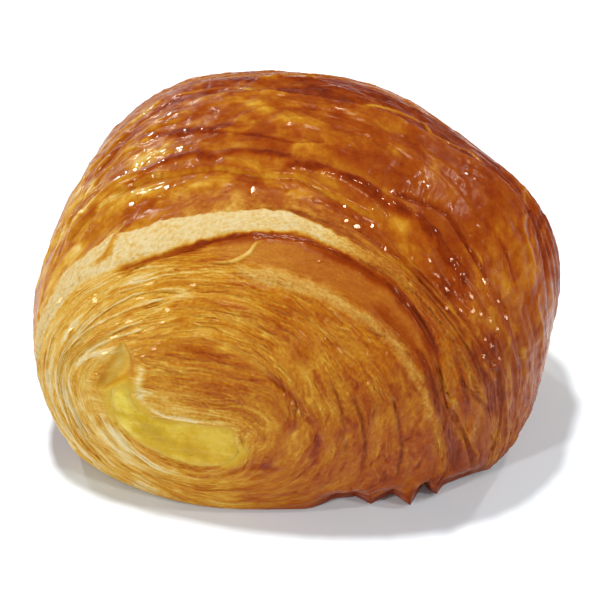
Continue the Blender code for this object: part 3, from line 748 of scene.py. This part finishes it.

# The air pocket: a hollow stained by custard, painted darker towards its walls, with painted shade on the inner right
# wall and a painted highlight across its middle.
POCKET_OUTER = ((97, 384), (103, 373), (110, 361), (116, 350), (121, 344))
POCKET_INNER = ((106, 388), (117, 383), (127, 377), (131, 367), (129, 356), (123, 345))
both, va, vb, la, outer_stroke = band_of(POCKET_OUTER, POCKET_INNER, 7.0)
depth = np.minimum(-va, vb)
inner_depth = np.minimum(depth, np.minimum(la, outer_stroke.length - la) * 0.8)
hollow = smooth(inner_depth, -0.9, 1.6)
blend(HEIGHT_MAP, both, 0.0, 0.9 * smooth(inner_depth, -1.2, 0.2))
add(HEIGHT_MAP, both, -1.2 * hollow)
stain_and_shade = smooth(inner_depth, -0.5, 0.3)
blend(YELLOW, both, 0.25, stain_and_shade)
blend(SHINE, both, 0.95, stain_and_shade)
toward = np.clip(-va / np.maximum(-va + vb, 1e-3), 0, 1)
# Darker towards both walls, most on the inner right wall, where it is painted shade.
blend(BAKE, both, 0.24 + 0.26 * smooth(toward, 0.72, 1.0) + 0.16 * (1 - smooth(toward, 0, 0.25)), 0.85 * stain_and_shade)
mark(((99, 391), (99, 384), (104, 377), (111, 376)), 0.5, 0.24, -0.1, 0.9, 0.0, seed=105, soft=0.9)
# Painted shade along the right wall.
mark(((131, 371), (131, 364), (128, 355)), 0.4, 0.22, 0.1, 0.9, 0.0, seed=106, soft=0.8)
# Pale streak across the middle: a painted highlight.
mark(((110, 373), (115, 366), (120, 359)), 0.35, -0.22, 0.12, 1.0, 0.0, seed=107, soft=0.9)

# ------------------------------------------------------------------ wet facets that catch the lamps
# Place in the photograph, half width across and along the layers in its pixels, and how broken up it is.
GLINTS = (
    (162, 150, 3, 5, 0.3), (179, 147, 2.5, 6, 0.8), (142, 163, 2, 2, 0.3), (125, 172, 2.5, 2, 0.5), (134, 169, 2, 3, 0.6),
    (116, 178, 3.5, 6, 0.5), (104, 188, 3, 5, 0.7), (95, 197, 3, 5, 0.5), (82, 212, 4, 4, 0.6), (130, 203, 6, 5, 0.5),
    (115, 212, 2, 5, 0.5), (159, 195, 2.5, 4, 0.4), (166, 187, 5, 4, 0.6), (174, 185, 2.5, 2, 0.5), (182, 187, 2, 2, 0.5),
    (202, 186, 1.5, 1.5, 0.2), (171, 116, 1.5, 1.5, 0.2), (141, 108, 1.5, 2, 0.2), (152, 101, 1.5, 1.5, 0.2), (194, 99, 1.5, 1.5, 0.2),
    (91, 224, 2, 5, 0.8), (85, 229, 2, 4, 0.9), (252, 188, 5, 2.5, 0.4), (335, 162, 2, 2, 0.3), (329, 158, 1.5, 2, 0.3),
    (391, 191, 2.5, 2, 0.3), (345, 204, 1.5, 1.5, 0.2), (347, 219, 1.5, 3, 0.4), (358, 225, 2.5, 5, 0.6), (373, 225, 1.5, 1.5, 0.3),
    (393, 219, 1.5, 1.5, 0.3), (386, 247, 1.5, 2, 0.4), (426, 183, 2, 6, 0.8), (412, 190, 1.5, 3, 0.6), (474, 179, 2, 2, 0.3),
    (482, 179, 3, 3, 0.3), (467, 174, 1.2, 1.2, 0.2), (452, 207, 2, 2, 0.3), (436, 229, 1.5, 1.5, 0.3), (479, 226, 1.5, 3, 0.3),
    (473, 235, 3.5, 4, 0.8), (504, 250, 2, 5, 0.5), (431, 260, 2, 6, 0.5), (439, 275, 3, 5, 0.9), (455, 279, 1.5, 5, 0.6),
    (485, 281, 2, 5, 0.4), (413, 257, 1.5, 3, 0.5), (451, 259, 1.2, 1.2, 0.3), (459, 256, 1.2, 1.5, 0.3), (448, 289, 1.5, 3, 0.6),
    (510, 289, 2, 4, 0.5), (473, 296, 1.5, 4, 0.4), (397, 289, 1.2, 6, 0.4), (409, 304, 1.0, 4, 0.5), (474, 311, 1.5, 2, 0.3),
    (482, 314, 2, 3, 0.3), (492, 321, 2.5, 3, 0.4), (499, 329, 1.5, 3, 0.5), (509, 317, 2.5, 5, 0.5), (462, 310, 2, 3, 0.8),
    (448, 308, 1.5, 3, 0.8), (501, 301, 1.5, 1.5, 0.3), (492, 346, 3, 4, 0.7), (486, 340, 2, 3, 0.9), (485, 357, 2, 4, 0.9),
    (495, 366, 2, 4, 0.9), (501, 359, 2, 3, 0.9), (466, 387, 1.5, 5, 0.5), (477, 394, 1.5, 1.5, 0.3), (450, 402, 2.5, 9, 0.9),
    (94, 300, 3.5, 4, 0.9), (118, 276, 2, 3, 0.8), (128, 322, 1.5, 6, 0.8), (113, 337, 1.5, 6, 0.8), (105, 353, 1.5, 5, 0.8),
    (193, 285, 2, 5, 0.7), (167, 310, 2.5, 4, 0.8), (163, 322, 2, 4, 0.8), (186, 338, 1.5, 4, 0.6), (154, 349, 1.2, 4, 0.6),
    (142, 357, 1.5, 4, 0.4), (340, 351, 2, 5, 0.8), (368, 355, 1.5, 4, 0.7), (388, 354, 1.5, 4, 0.7), (368, 384, 2, 3, 0.5),
    (319, 261, 1.2, 2, 0.4), (362, 275, 1.5, 2, 0.4), (351, 366, 1.2, 2, 0.3), (359, 375, 1.5, 1.5, 0.3), (269, 375, 1.5, 4, 0.7),
    (242, 403, 2, 1.5, 0.2), (224, 388, 1.5, 1.5, 0.3), (262, 433, 2, 2, 0.7), (266, 458, 2, 1.5, 0.5), (232, 474, 1.5, 1.5, 0.3),
    (222, 477, 1.5, 3, 0.4), (136, 394, 2, 5, 0.6), (115, 425, 2.5, 2.5, 0.8), (123, 433, 1.8, 1.8, 0.3), (128, 445, 1.8, 3.5, 0.3),
    (292, 404, 2.5, 3, 0.5), (299, 413, 1.8, 5, 0.4), (304, 421, 1.8, 3, 0.7), (286, 420, 1.5, 3, 0.4), (365, 412, 2, 2, 0.6),
    (348, 395, 1.2, 4, 0.6), (344, 407, 0.8, 7, 0.3), (311, 401, 0.8, 6, 0.4), (284, 395, 1, 3, 0.5), (280, 432, 1, 3, 0.6),
    (95, 423, 2, 3, 0.6), (70, 330, 1.5, 5, 0.8), (60, 300, 1.5, 5, 0.8), (140, 298, 1.2, 6, 0.8), (150, 283, 1.0, 7, 0.7),
)
PX = VIEW_DISTANCE / VIEW_FOCAL_PX  # mm in a photograph pixel
WAYS = [lamp_way(azimuth, elevation) for _, azimuth, elevation, _, half_angle in LAMPS if half_angle < 10]


def facet(px, py, across_px, along_px, broken, number):
    """Turns a small wet patch so that it mirrors a lamp to someone who looks from the photograph's side."""
    at, _ = lay(px, py)
    d2 = ((SKIN - at) ** 2).sum(-1)
    nearest = int(d2.argmin())
    row, col = divmod(nearest, COLUMNS)
    row = min(max(row, 3), SHAPE[0] - 4)
    u_dir = BASE[row, (col + 3) % COLUMNS] - BASE[row, col - 3]
    v_dir = BASE[row + 3, col] - BASE[row - 3, col]
    n = np.cross(u_dir, v_dir)
    n *= np.sign(n @ NORMAL[row, col]) / np.linalg.norm(n)
    u_dir /= np.linalg.norm(u_dir)
    v_dir = np.cross(n, u_dir)
    look = (EYE - at) / np.linalg.norm(EYE - at)
    half = max(((look + way) / np.linalg.norm(look + way) for way in WAYS), key=lambda h: h @ n)
    reach = 1.7 * max(across_px, along_px) * PX + 1.0
    idx = np.flatnonzero(d2 < reach * reach)
    delta = SKIN[idx] - at
    u, v = delta @ u_dir, delta @ v_dir
    least = 0.62 if LAYER[row, 0] > 57 else 0.36
    su, sv = max(1.0 * along_px * PX, least), max(1.0 * across_px * PX, 0.9 * least)
    far = np.sqrt((u / su) ** 2 + (v / sv) ** 2) + 0.25 * broken * noise(u / 0.5, v / 0.4, 431 + number)
    window = 1 - smooth(far, 0.85, 1.4)
    facing = max(half @ n, 0.3)
    gu, gv = -(half @ u_dir) / facing, -(half @ v_dir) / facing
    size = math.hypot(gu, gv)
    if size > 0.55:
        share = 0.55 / size if size < 0.7 else 0.0
        gu, gv = gu * share, gv * share
    bumps = 0.014 * broken * noise(u / 0.7, v / 0.5, 401 + number)
    level = (flat(HEIGHT_MAP)[idx] * window).sum() / max(window.sum(), 1e-6)
    blend(HEIGHT_MAP, idx, level + 0.04 + gu * u + gv * v + bumps, window)
    blend(SHINE, idx, 1.0 if LAYER[row, 0] > 57 else 0.9, np.clip(1.3 * window, 0, 1))
    blend(CRUMB, idx, 0.0, window)


flat3 = lambda field: field.reshape(-1, 3)
for number, glint in enumerate(GLINTS):
    facet(*glint, number)

# ------------------------------------------------------------------ foot
foot_fade = smooth(BASE[..., 2], -1.5, 3.0)
HEIGHT_MAP -= 0.25 + 0.35 * smooth(LAYER, 44, 60)
HEIGHT_MAP *= foot_fade
# The torn front right edge of the foot: places in the photograph where it meets the surface, with three points.
FOOT_EDGE = ((300, 508), (318, 503.5), (338, 499.5), (357, 496), (364, 501), (371, 506), (376, 503), (386, 499), (396, 495.5),
             (402, 502), (408, 509), (414, 502.5), (422, 493.5), (430.4, 485), (432.4, 494), (436.5, 497.5), (442, 492),
             (448, 487.3), (463, 481.8), (476, 477.5), (490, 473), (500, 460))
front = (BASE[..., 1] < 0) & (BASE[..., 2] > -0.05) & (BASE[..., 2] < 12) & (SEEN_X > 290) & (SEEN_X < 510)
places = np.round(SEEN_X[front]).astype(int) - 290
lowest = np.zeros(222)
np.maximum.at(lowest, places, SEEN_Y[front])
spots = np.flatnonzero(lowest > 0)
plain = np.interp(np.arange(222), spots, lowest[spots])
plain = np.convolve(np.pad(plain, 6, mode="edge"), np.ones(13) / 13, mode="valid")
wanted = np.interp(SEEN_X, [x for x, _ in FOOT_EDGE], [y for _, y in FOOT_EDGE])
pushed = (wanted - np.interp(SEEN_X, np.arange(222) + 290.0, plain)) * PX / np.clip(-(NORMAL @ UP), 0.4, 1.0)
pushed *= smooth(SEEN_X, 302, 340) * (1 - smooth(SEEN_X, 484, 499)) * (BASE[..., 1] < 0)
pushed = np.clip(pushed, -4.5, 3.0)
torn = np.where(pushed > 0, 1 - smooth(BASE[..., 2], 1.0, 7.0), 1 - smooth(BASE[..., 2], 1.5, 8.0))
HEIGHT_MAP += pushed * torn
BAKE += 0.10 * np.clip(np.abs(pushed), 0, 1.5) * (1 - smooth(BASE[..., 2], 0.5, 4))
BAKE += 0.16 * (1 - smooth(BASE[..., 2], -2, 4)) * side_right
BAKE = np.clip(BAKE, 0, 0.9)
CRUMB = np.clip(CRUMB, 0, 1)
SHINE = np.clip(SHINE, 0, 1)
POINTS = press(BASE + NORMAL * HEIGHT_MAP[..., None])
POINTS[..., 2] = np.maximum(POINTS[..., 2], 0.0)


# ------------------------------------------------------------------ meshes
def mesh_from(name, points, quads, tris=None, attributes=None, flow=None, bake_uv=None):
    mesh = bpy.data.meshes.new(name)
    tris = np.zeros((0, 3), int) if tris is None else np.asarray(tris)
    loops = np.concatenate([quads.reshape(-1), tris.reshape(-1)]).astype(np.int32)
    sizes = np.concatenate([np.full(len(quads), 4), np.full(len(tris), 3)]).astype(np.int32)
    starts = np.concatenate([[0], np.cumsum(sizes)[:-1]]).astype(np.int32)
    mesh.vertices.add(len(points))
    mesh.vertices.foreach_set("co", (points * MM).astype(np.float32).reshape(-1))
    mesh.loops.add(len(loops))
    mesh.loops.foreach_set("vertex_index", loops)
    mesh.polygons.add(len(sizes))
    mesh.polygons.foreach_set("loop_start", starts)
    for key, values in (attributes or {}).items():
        layer = mesh.attributes.new(key, "FLOAT", "POINT")
        layer.data.foreach_set("value", values.astype(np.float32))
    for key, uv in (("OFBake", bake_uv), ("flow", flow)):
        if uv is not None:
            layer = mesh.uv_layers.new(name=key)
            layer.data.foreach_set("uv", uv.astype(np.float32).reshape(-1))
    mesh.update(calc_edges=True)
    mesh.validate(clean_customdata=False)
    mesh.shade_smooth()
    item = bpy.data.objects.new(name, mesh)
    bpy.context.scene.collection.objects.link(item)
    return item


def skin_piece(name, first, last, stride=1, cap_near=False, cap_far=False):
    """Rows first to last of the skin as one mesh."""
    cols = np.arange(0, COLUMNS, stride)
    rows = np.arange(first, last + 1)
    n, m = len(rows), len(cols)
    grid = np.arange(n * m).reshape(n, m)
    nxt = np.roll(grid, -1, axis=1)
    quads = np.stack([grid[:-1], nxt[:-1], nxt[1:], grid[1:]], -1).reshape(-1, 4)
    pick = np.ix_(rows, cols)
    points = POINTS[pick].reshape(-1, 3)
    values = {"bake": BAKE[pick].reshape(-1), "crumb": CRUMB[pick].reshape(-1), "shine": SHINE[pick].reshape(-1),
              "yellow": YELLOW[pick].reshape(-1), "glaze": crust[pick].reshape(-1)}
    u = np.arange(m + 1) / m
    v = np.arange(n) / max(n - 1, 1)
    along = np.concatenate([ALONG[pick], ALONG[pick][:, -1:] + 2.0], 1)
    layer = ROW_PLACES[rows]
    cell_r, cell_c = np.meshgrid(np.arange(n - 1), np.arange(m), indexing="ij")

    def corner(dr, dc):
        return (np.stack([0.01 + 0.98 * u[cell_c + dc], 0.01 + 0.98 * v[cell_r + dr]], -1),
                np.stack([along[cell_r + dr, cell_c + dc], layer[cell_r + dr]], -1))

    corners = [corner(0, 0), corner(0, 1), corner(1, 1), corner(1, 0)]
    bake_uv = np.stack([c[0] for c in corners], -2).reshape(-1, 2)
    flow_uv = np.stack([c[1] for c in corners], -2).reshape(-1, 2)
    tris = []
    extra_bake, extra_flow = [], []
    for wanted, row, row_index in ((cap_near, 0, 0), (cap_far, n - 1, n - 1)):
        if not wanted:
            continue
        centre = len(points)
        points = np.vstack([points, points[grid[row]].mean(0)])
        for key in values:
            values[key] = np.append(values[key], values[key][grid[row]].mean())
        for j in range(m):
            a, b = grid[row, j], grid[row, (j + 1) % m]
            tris.append((centre, b, a) if row == 0 else (centre, a, b))
            v0 = 0.0 if row == 0 else 1.0
            va_ = 0.01 if row == 0 else 0.99
            order = (j + 1, j) if row == 0 else (j, j + 1)
            extra_bake += [(0.01 + 0.98 * (j + 0.5) / m, v0)] + [(0.01 + 0.98 * o / m, va_) for o in order]
            extra_flow += [(along[row, j], layer[row])] * 3
    if tris:
        bake_uv = np.vstack([bake_uv, extra_bake])
        flow_uv = np.vstack([flow_uv, extra_flow])
    return mesh_from(name, points, quads, np.array(tris) if tris else None, values, flow_uv, bake_uv)


def row_of(place):
    return int(np.argmin(np.abs(ROW_PLACES - place)))


cuts = [0, row_of(30.0), row_of(44.0), row_of(60.0), row_of(74.0), row_of(88.0), row_of(112.0), len(ROW_PLACES) - 1]
PIECES = [
    skin_piece("near_core_layers", cuts[0], cuts[1], 2, cap_near=True),
    skin_piece("near_layers", cuts[1], cuts[2]),
    skin_piece("bare_band", cuts[2], cuts[3]),
    skin_piece("crust_front", cuts[3], cuts[4]),
    skin_piece("crust_back", cuts[4], cuts[5]),
    skin_piece("far_flap", cuts[5], cuts[6]),
    skin_piece("far_layers", cuts[6], cuts[7], cap_far=True),
]


# ------------------------------------------------------------------ materials
def linear(rgb, gain=0.66):
    return tuple(gain * x for x in unscaled(rgb)) + (1.0,)


def unscaled(rgb):
    return tuple((c / 255 / 12.92) if c / 255 <= 0.04045 else ((c / 255 + 0.055) / 1.055) ** 2.4 for c in rgb)


class Nodes:
    def __init__(self, name):
        self.material = bpy.data.materials.new(name)
        self.material.use_nodes = True
        self.tree = self.material.node_tree
        self.shader = self.tree.nodes["Principled BSDF"]

    def new(self, kind, **inputs):
        node = self.tree.nodes.new(kind)
        for key, value in inputs.items():
            self.set(node, key.replace("_", " "), value)
        return node

    def set(self, node, key, value):
        socket = node.inputs[key] if not isinstance(key, int) else node.inputs[key]
        if isinstance(value, bpy.types.NodeSocket):
            self.tree.links.new(value, socket)
        else:
            socket.default_value = value

    def attribute(self, name):
        node = self.tree.nodes.new("ShaderNodeAttribute")
        node.attribute_type = "GEOMETRY"
        node.attribute_name = name
        return node.outputs["Fac"]

    def math(self, operation, a, b=0.0, c=None, clamp=False):
        node = self.tree.nodes.new("ShaderNodeMath")
        node.operation = operation
        node.use_clamp = clamp
        self.set(node, 0, a)
        self.set(node, 1, b)
        if c is not None:
            self.set(node, 2, c)
        return node.outputs[0]

    def noise(self, vector, scale, detail=3.0, rough=0.55):
        node = self.tree.nodes.new("ShaderNodeTexNoise")
        self.set(node, "Vector", vector)
        node.inputs["Scale"].default_value = scale
        node.inputs["Detail"].default_value = detail
        node.inputs["Roughness"].default_value = rough
        return node.outputs["Fac"]

    def stretched(self, vector, scale):
        node = self.tree.nodes.new("ShaderNodeMapping")
        self.set(node, "Vector", vector)
        node.inputs["Scale"].default_value = scale
        return node.outputs[0]

    def mix(self, factor, a, b):
        node = self.tree.nodes.new("ShaderNodeMix")
        node.data_type = "RGBA"
        self.set(node, "Factor", factor)
        for key, value in (("A", a), ("B", b)):
            socket = [s for s in node.inputs if s.name == key and s.type == "RGBA"][0]
            if isinstance(value, bpy.types.NodeSocket):
                self.tree.links.new(value, socket)
            else:
                socket.default_value = value
        return [s for s in node.outputs if s.type == "RGBA"][0]

    def ramp(self, factor, stops):
        node = self.tree.nodes.new("ShaderNodeValToRGB")
        self.set(node, "Fac", factor)
        ramp = node.color_ramp
        ramp.interpolation = "LINEAR"
        while len(ramp.elements) < len(stops):
            ramp.elements.new(0.5)
        for element, (place, colour) in zip(ramp.elements, stops):
            element.position = place
            element.color = colour
        return node.outputs["Color"]


BAKE_STOPS = (
    (0.00, (240, 218, 164)),
    (0.11, (233, 200, 128)),
    (0.23, (224, 178, 78)),
    (0.35, (210, 151, 47)),
    (0.47, (194, 124, 30)),
    (0.59, (178, 99, 22)),
    (0.71, (163, 77, 17)),
    (0.83, (147, 58, 13)),
    (0.93, (122, 42, 11)),
    (1.00, (96, 28, 9)),
)


def pastry_material():
    n = Nodes("baked_pastry_look")
    coords = n.tree.nodes.new("ShaderNodeTexCoord").outputs["Object"]
    uv = n.tree.nodes.new("ShaderNodeUVMap")
    uv.uv_map = "flow"
    flow = uv.outputs["UV"]
    bake, crumb, shine, yellow = (n.attribute(k) for k in ("bake", "crumb", "shine", "yellow"))
    streaks = n.noise(n.stretched(flow, (0.3, 2.2, 1.0)), 1.0, 4.0, 0.6)
    grain = n.noise(coords, 2600.0, 3.0, 0.65)
    mottle = n.noise(coords, 420.0, 3.0, 0.6)
    glaze = n.attribute("glaze")
    pores = n.noise(coords, 1300.0, 3.0, 0.6)
    streak_share = n.math("SUBTRACT", 0.18, n.math("MULTIPLY", glaze, 0.13))
    tone = n.math("ADD", bake, n.math("MULTIPLY", n.math("SUBTRACT", streaks, 0.5), streak_share))
    mottle_share = n.math("ADD", 0.16, n.math("MULTIPLY", glaze, 0.16))
    tone = n.math("ADD", tone, n.math("MULTIPLY", n.math("SUBTRACT", mottle, 0.5), mottle_share))
    tone = n.math("ADD", tone, n.math("MULTIPLY", n.math("SUBTRACT", pores, 0.5), n.math("MULTIPLY", glaze, 0.16)))
    fuzz = n.math("MULTIPLY", n.math("SUBTRACT", grain, 0.5), n.math("ADD", n.math("MULTIPLY", crumb, 0.35), 0.08))
    tone = n.math("ADD", tone, fuzz, clamp=True)
    colour = n.ramp(tone, [(p, linear(c)) for p, c in BAKE_STOPS])
    bare = n.math("MULTIPLY", n.math("POWER", n.math("SUBTRACT", 1.0, tone), 4.0), crumb)
    bare = n.math("MULTIPLY", bare, n.math("ADD", n.math("MULTIPLY", grain, 1.6), -0.1), clamp=True)
    colour = n.mix(n.math("MULTIPLY", bare, 0.85), colour, linear((231, 210, 162)))
    colour = n.mix(n.math("MULTIPLY", yellow, 0.75), colour, linear((208, 170, 36), 0.66))
    n.set(n.shader, "Base Color", colour)
    rough = n.math("SUBTRACT", 0.66, n.math("MULTIPLY", shine, 0.56))
    rough = n.math("ADD", rough, n.math("MULTIPLY", n.math("SUBTRACT", mottle, 0.5), 0.06), clamp=True)
    n.set(n.shader, "Roughness", rough)
    n.shader.inputs["IOR"].default_value = 1.22
    n.shader.inputs["Specular IOR Level"].default_value = 0.38
    n.shader.inputs["Specular Tint"].default_value = (1.0, 0.8, 0.55, 1.0)
    n.shader.inputs["Subsurface Weight"].default_value = 0.10
    n.shader.inputs["Subsurface Radius"].default_value = (1.0, 0.45, 0.15)
    n.shader.inputs["Subsurface Scale"].default_value = 0.0012
    fine = n.noise(n.stretched(flow, (1.1, 4.0, 1.0)), 1.0, 3.0, 0.6)
    wrinkle = n.noise(n.stretched(coords, (1, 1, 1)), 900.0, 2.0, 0.5)
    relief = n.math("ADD", n.math("MULTIPLY", fine, 0.8), n.math("MULTIPLY", wrinkle, 0.5))
    relief = n.math("MULTIPLY", relief, n.math("SUBTRACT", 1.0, n.math("MULTIPLY", shine, 0.98)))
    relief = n.math("ADD", relief, n.math("MULTIPLY", n.math("MULTIPLY", grain, crumb), 1.2))
    b = n.tree.nodes.new("ShaderNodeBump")
    b.inputs["Strength"].default_value = 0.6
    b.inputs["Distance"].default_value = 0.00028
    n.set(b, "Height", relief)
    n.set(n.shader, "Normal", b.outputs["Normal"])
    return n.material


def custard_material():
    n = Nodes("custard_look")
    n.shader.inputs["IOR"].default_value = 1.25
    n.shader.inputs["Specular IOR Level"].default_value = 0.5
    coords = n.tree.nodes.new("ShaderNodeTexCoord").outputs["Object"]
    cloud = n.noise(coords, 160.0, 3.0, 0.55)
    speck = n.noise(coords, 1500.0, 2.0, 0.6)
    tone = n.math("ADD", n.math("MULTIPLY", cloud, 0.8), n.math("MULTIPLY", speck, 0.2))
    colour = n.ramp(tone, [(0.38, linear((190, 152, 10), 0.68)), (0.5, linear((212, 174, 22), 0.68)), (0.62, linear((230, 204, 78), 0.7))])
    colour = n.mix(n.math("MULTIPLY", n.attribute("warm"), 0.45), colour, linear((200, 148, 12), 0.72))
    colour = n.mix(n.math("MULTIPLY", n.attribute("rim"), 0.75), colour, linear((208, 164, 62), 0.66))
    n.set(n.shader, "Base Color", colour)
    n.shader.inputs["Roughness"].default_value = 0.18
    n.shader.inputs["Subsurface Weight"].default_value = 0.15
    n.shader.inputs["Subsurface Radius"].default_value = (1.0, 0.8, 0.2)
    n.shader.inputs["Subsurface Scale"].default_value = 0.002
    b = n.tree.nodes.new("ShaderNodeBump")
    b.inputs["Strength"].default_value = 0.55
    b.inputs["Distance"].default_value = 0.0004
    n.set(b, "Height", n.noise(coords, 420.0, 3.0, 0.5))
    n.set(n.shader, "Normal", b.outputs["Normal"])
    return n.material


PASTRY = pastry_material()
CUSTARD = custard_material()
for piece in PIECES:
    piece.data.materials.append(PASTRY)
    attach(piece, "root")
    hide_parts("pastry_roll")


# ------------------------------------------------------------------ custard
def build_custard():
    """A bar of crescent section along the roll, with a swelling, slightly lumpy face at each end."""
    outer = np.array([lay(x, y)[0] for x, y in spline(CUSTARD_OUTER, 1.0)])
    inner = np.array([lay(x, y)[0] for x, y in spline(CUSTARD_INNER, 1.0)])

    def even(line, count):
        run = np.concatenate([[0], np.cumsum(np.linalg.norm(np.diff(line[:, [0, 2]], axis=0), axis=1))])
        s = np.linspace(0, run[-1], count)
        return np.stack([np.interp(s, run, line[:, k]) for k in range(3)], 1)

    count, deep = ((150, 40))
    a, b = even(outer, count), even(inner, count)
    w = np.linspace(-0.10, 1.10, deep)[None, :, None]
    face = a[:, None, :] * (1 - w) + b[:, None, :] * w
    # Rounded tips: the two edges meet at both ends of the crescent.
    t = np.linspace(0, 1, count)[:, None]
    pinch = np.clip(np.minimum(t, 1 - t) / 0.06, 0, 1) ** 0.5
    middle = face.mean(1, keepdims=True)
    face = middle + (face - middle) * pinch[..., None]
    x, z = face[..., 0], face[..., 2]
    v = np.linspace(-1, 1, deep)[None, :]
    swell = np.sqrt(np.clip(1 - v**2, 0, 1)) * np.sqrt(np.clip(1 - (2 * t - 1) ** 8, 0, 1))

    def surface_y(x, z, forwards):
        start = -80.0 if forwards else 80.0
        out = np.zeros_like(x)
        way = 1 if forwards else -1
        for i in range(x.shape[0]):
            for j in range(x.shape[1]):
                for nudge in (0.0, 0.02, -0.3, 0.4, -0.8, 1.0, -1.6, 2.0, -2.6, 3.2):
                    at = Vector((x[i, j] + nudge, start, max(z[i, j], 0.5) + nudge))
                    hit = GROUND.ray_cast(at, Vector((0, way, 0)))[0]
                    if hit and hit[1] * way < 0:
                        out[i, j] = hit[1]
                        break
                else:
                    raise RuntimeError("no surface for the custard here")
        return out

    lump = 0.30 * noise(x / 3.0, z / 2.2, 201) + 0.10 * noise(x / 1.1, z / 0.9, 202)
    reach = np.linalg.norm(a[:, None] - b[:, None], axis=-1) * 0.6 * (1 - np.abs(v))
    reach = np.minimum(reach, np.minimum(t, 1 - t) * 26.0)
    edge = np.clip(1 - reach / 1.1, 0, 1)
    near_y = surface_y(x, z, True) + 0.20 + 0.55 * edge**2 - 0.18 * smooth(reach, 0.8, 2.4) - 0.6 * lump * (1 - edge)
    rise, shift = 5.5, 1.5
    xf, zf = x + shift, z + rise
    far_y = surface_y(xf, zf, False) - 1.1 + 1.05 * swell + 0.6 * lump * swell
    near = np.stack([x, near_y, z], -1)
    far = np.stack([xf, far_y, zf], -1)
    points = np.vstack([near.reshape(-1, 3), far.reshape(-1, 3)])
    grid = np.arange(count * deep).reshape(count, deep)
    quads = [np.stack([grid[:-1, :-1], grid[:-1, 1:], grid[1:, 1:], grid[1:, :-1]], -1).reshape(-1, 4)]
    back = grid + count * deep
    quads.append(np.stack([back[:-1, :-1], back[1:, :-1], back[1:, 1:], back[:-1, 1:]], -1).reshape(-1, 4))
    ring = np.concatenate([grid[:-1, 0], grid[-1, :-1], grid[:0:-1, -1], grid[0, :0:-1]])
    ring2 = ring + count * deep
    quads.append(np.stack([ring, np.roll(ring, -1), np.roll(ring2, -1), ring2], -1))
    rim = np.clip(1 - smooth(reach, 0.4, 2.3) + 0.3 * noise(x / 1.6, z / 1.2, 203), 0, 1)
    warm = np.broadcast_to(smooth(t, 0.15, 0.85), (count, deep))
    item = mesh_from("custard_bar", points, np.concatenate(quads), None,
                     {"rim": np.tile(rim.reshape(-1), 2), "warm": np.tile(warm.reshape(-1), 2)})
    item.data.materials.append(CUSTARD)
    return item


custard = build_custard()
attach(custard, "root")
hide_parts("custard_filling")


# ------------------------------------------------------------------ floor, light and camera
scene = bpy.context.scene
floor_mesh = bpy.data.meshes.new("floor")
floor_mesh.from_pydata([(-3, -3, 0), (3, -3, 0), (3, 3, 0), (-3, 3, 0)], [], [(0, 1, 2, 3)])
floor = bpy.data.objects.new("floor", floor_mesh)
scene.collection.objects.link(floor)
floor.location.z = -0.0002
f = Nodes("pale_floor")
f.shader.inputs["Base Color"].default_value = (0.83, 0.89, 0.93, 1)
f.shader.inputs["Roughness"].default_value = 0.8
f.shader.inputs["Specular IOR Level"].default_value = 0.1
floor_mesh.materials.append(f.material)


def lamp(name, azimuth, elevation, white, half_angle, colour=(1, 1, 1), distance=0.9):
    """A round soft light. Azimuth 0 is in front of the near end and 90 at the right. white is how bright it makes
    a white surface that faces it; half_angle is how large it looks from the pastry."""
    way = Vector(lamp_way(azimuth, elevation))
    data = bpy.data.lights.new(name, "AREA")
    data.shape = "DISK"
    data.size = 2 * distance * math.tan(math.radians(half_angle))
    data.energy = white * math.pi**2 * distance**2 / math.cos(math.radians(half_angle)) ** 2
    data.color = colour
    item = bpy.data.objects.new(name, data)
    item.location = Vector((0, 0, 0.03)) + way * distance
    item.rotation_euler = way.to_track_quat("Z", "Y").to_euler()
    scene.collection.objects.link(item)
    return item


for name, azimuth, elevation, white, half_angle in LAMPS:
    lamp(name, azimuth, elevation, white, half_angle)

world = bpy.data.worlds.new("studio")
world.use_nodes = True
world.node_tree.nodes["Background"].inputs["Color"].default_value = (1, 1, 1, 1)
world.node_tree.nodes["Background"].inputs["Strength"].default_value = 0.13
scene.world = world
scene.view_settings.view_transform = "Standard"
scene.view_settings.look = "None"

camera_data = bpy.data.cameras.new("camera")
camera_data.sensor_width = 36.0
camera_data.lens = VIEW_FOCAL_PX / 600.0 * 36.0
camera_data.clip_start = 0.01
camera = bpy.data.objects.new("camera", camera_data)
camera.location = Vector(EYE * MM)
camera.rotation_euler = Vector(BACK).to_track_quat("Z", "Y").to_euler()
scene.collection.objects.link(camera)
scene.camera = camera
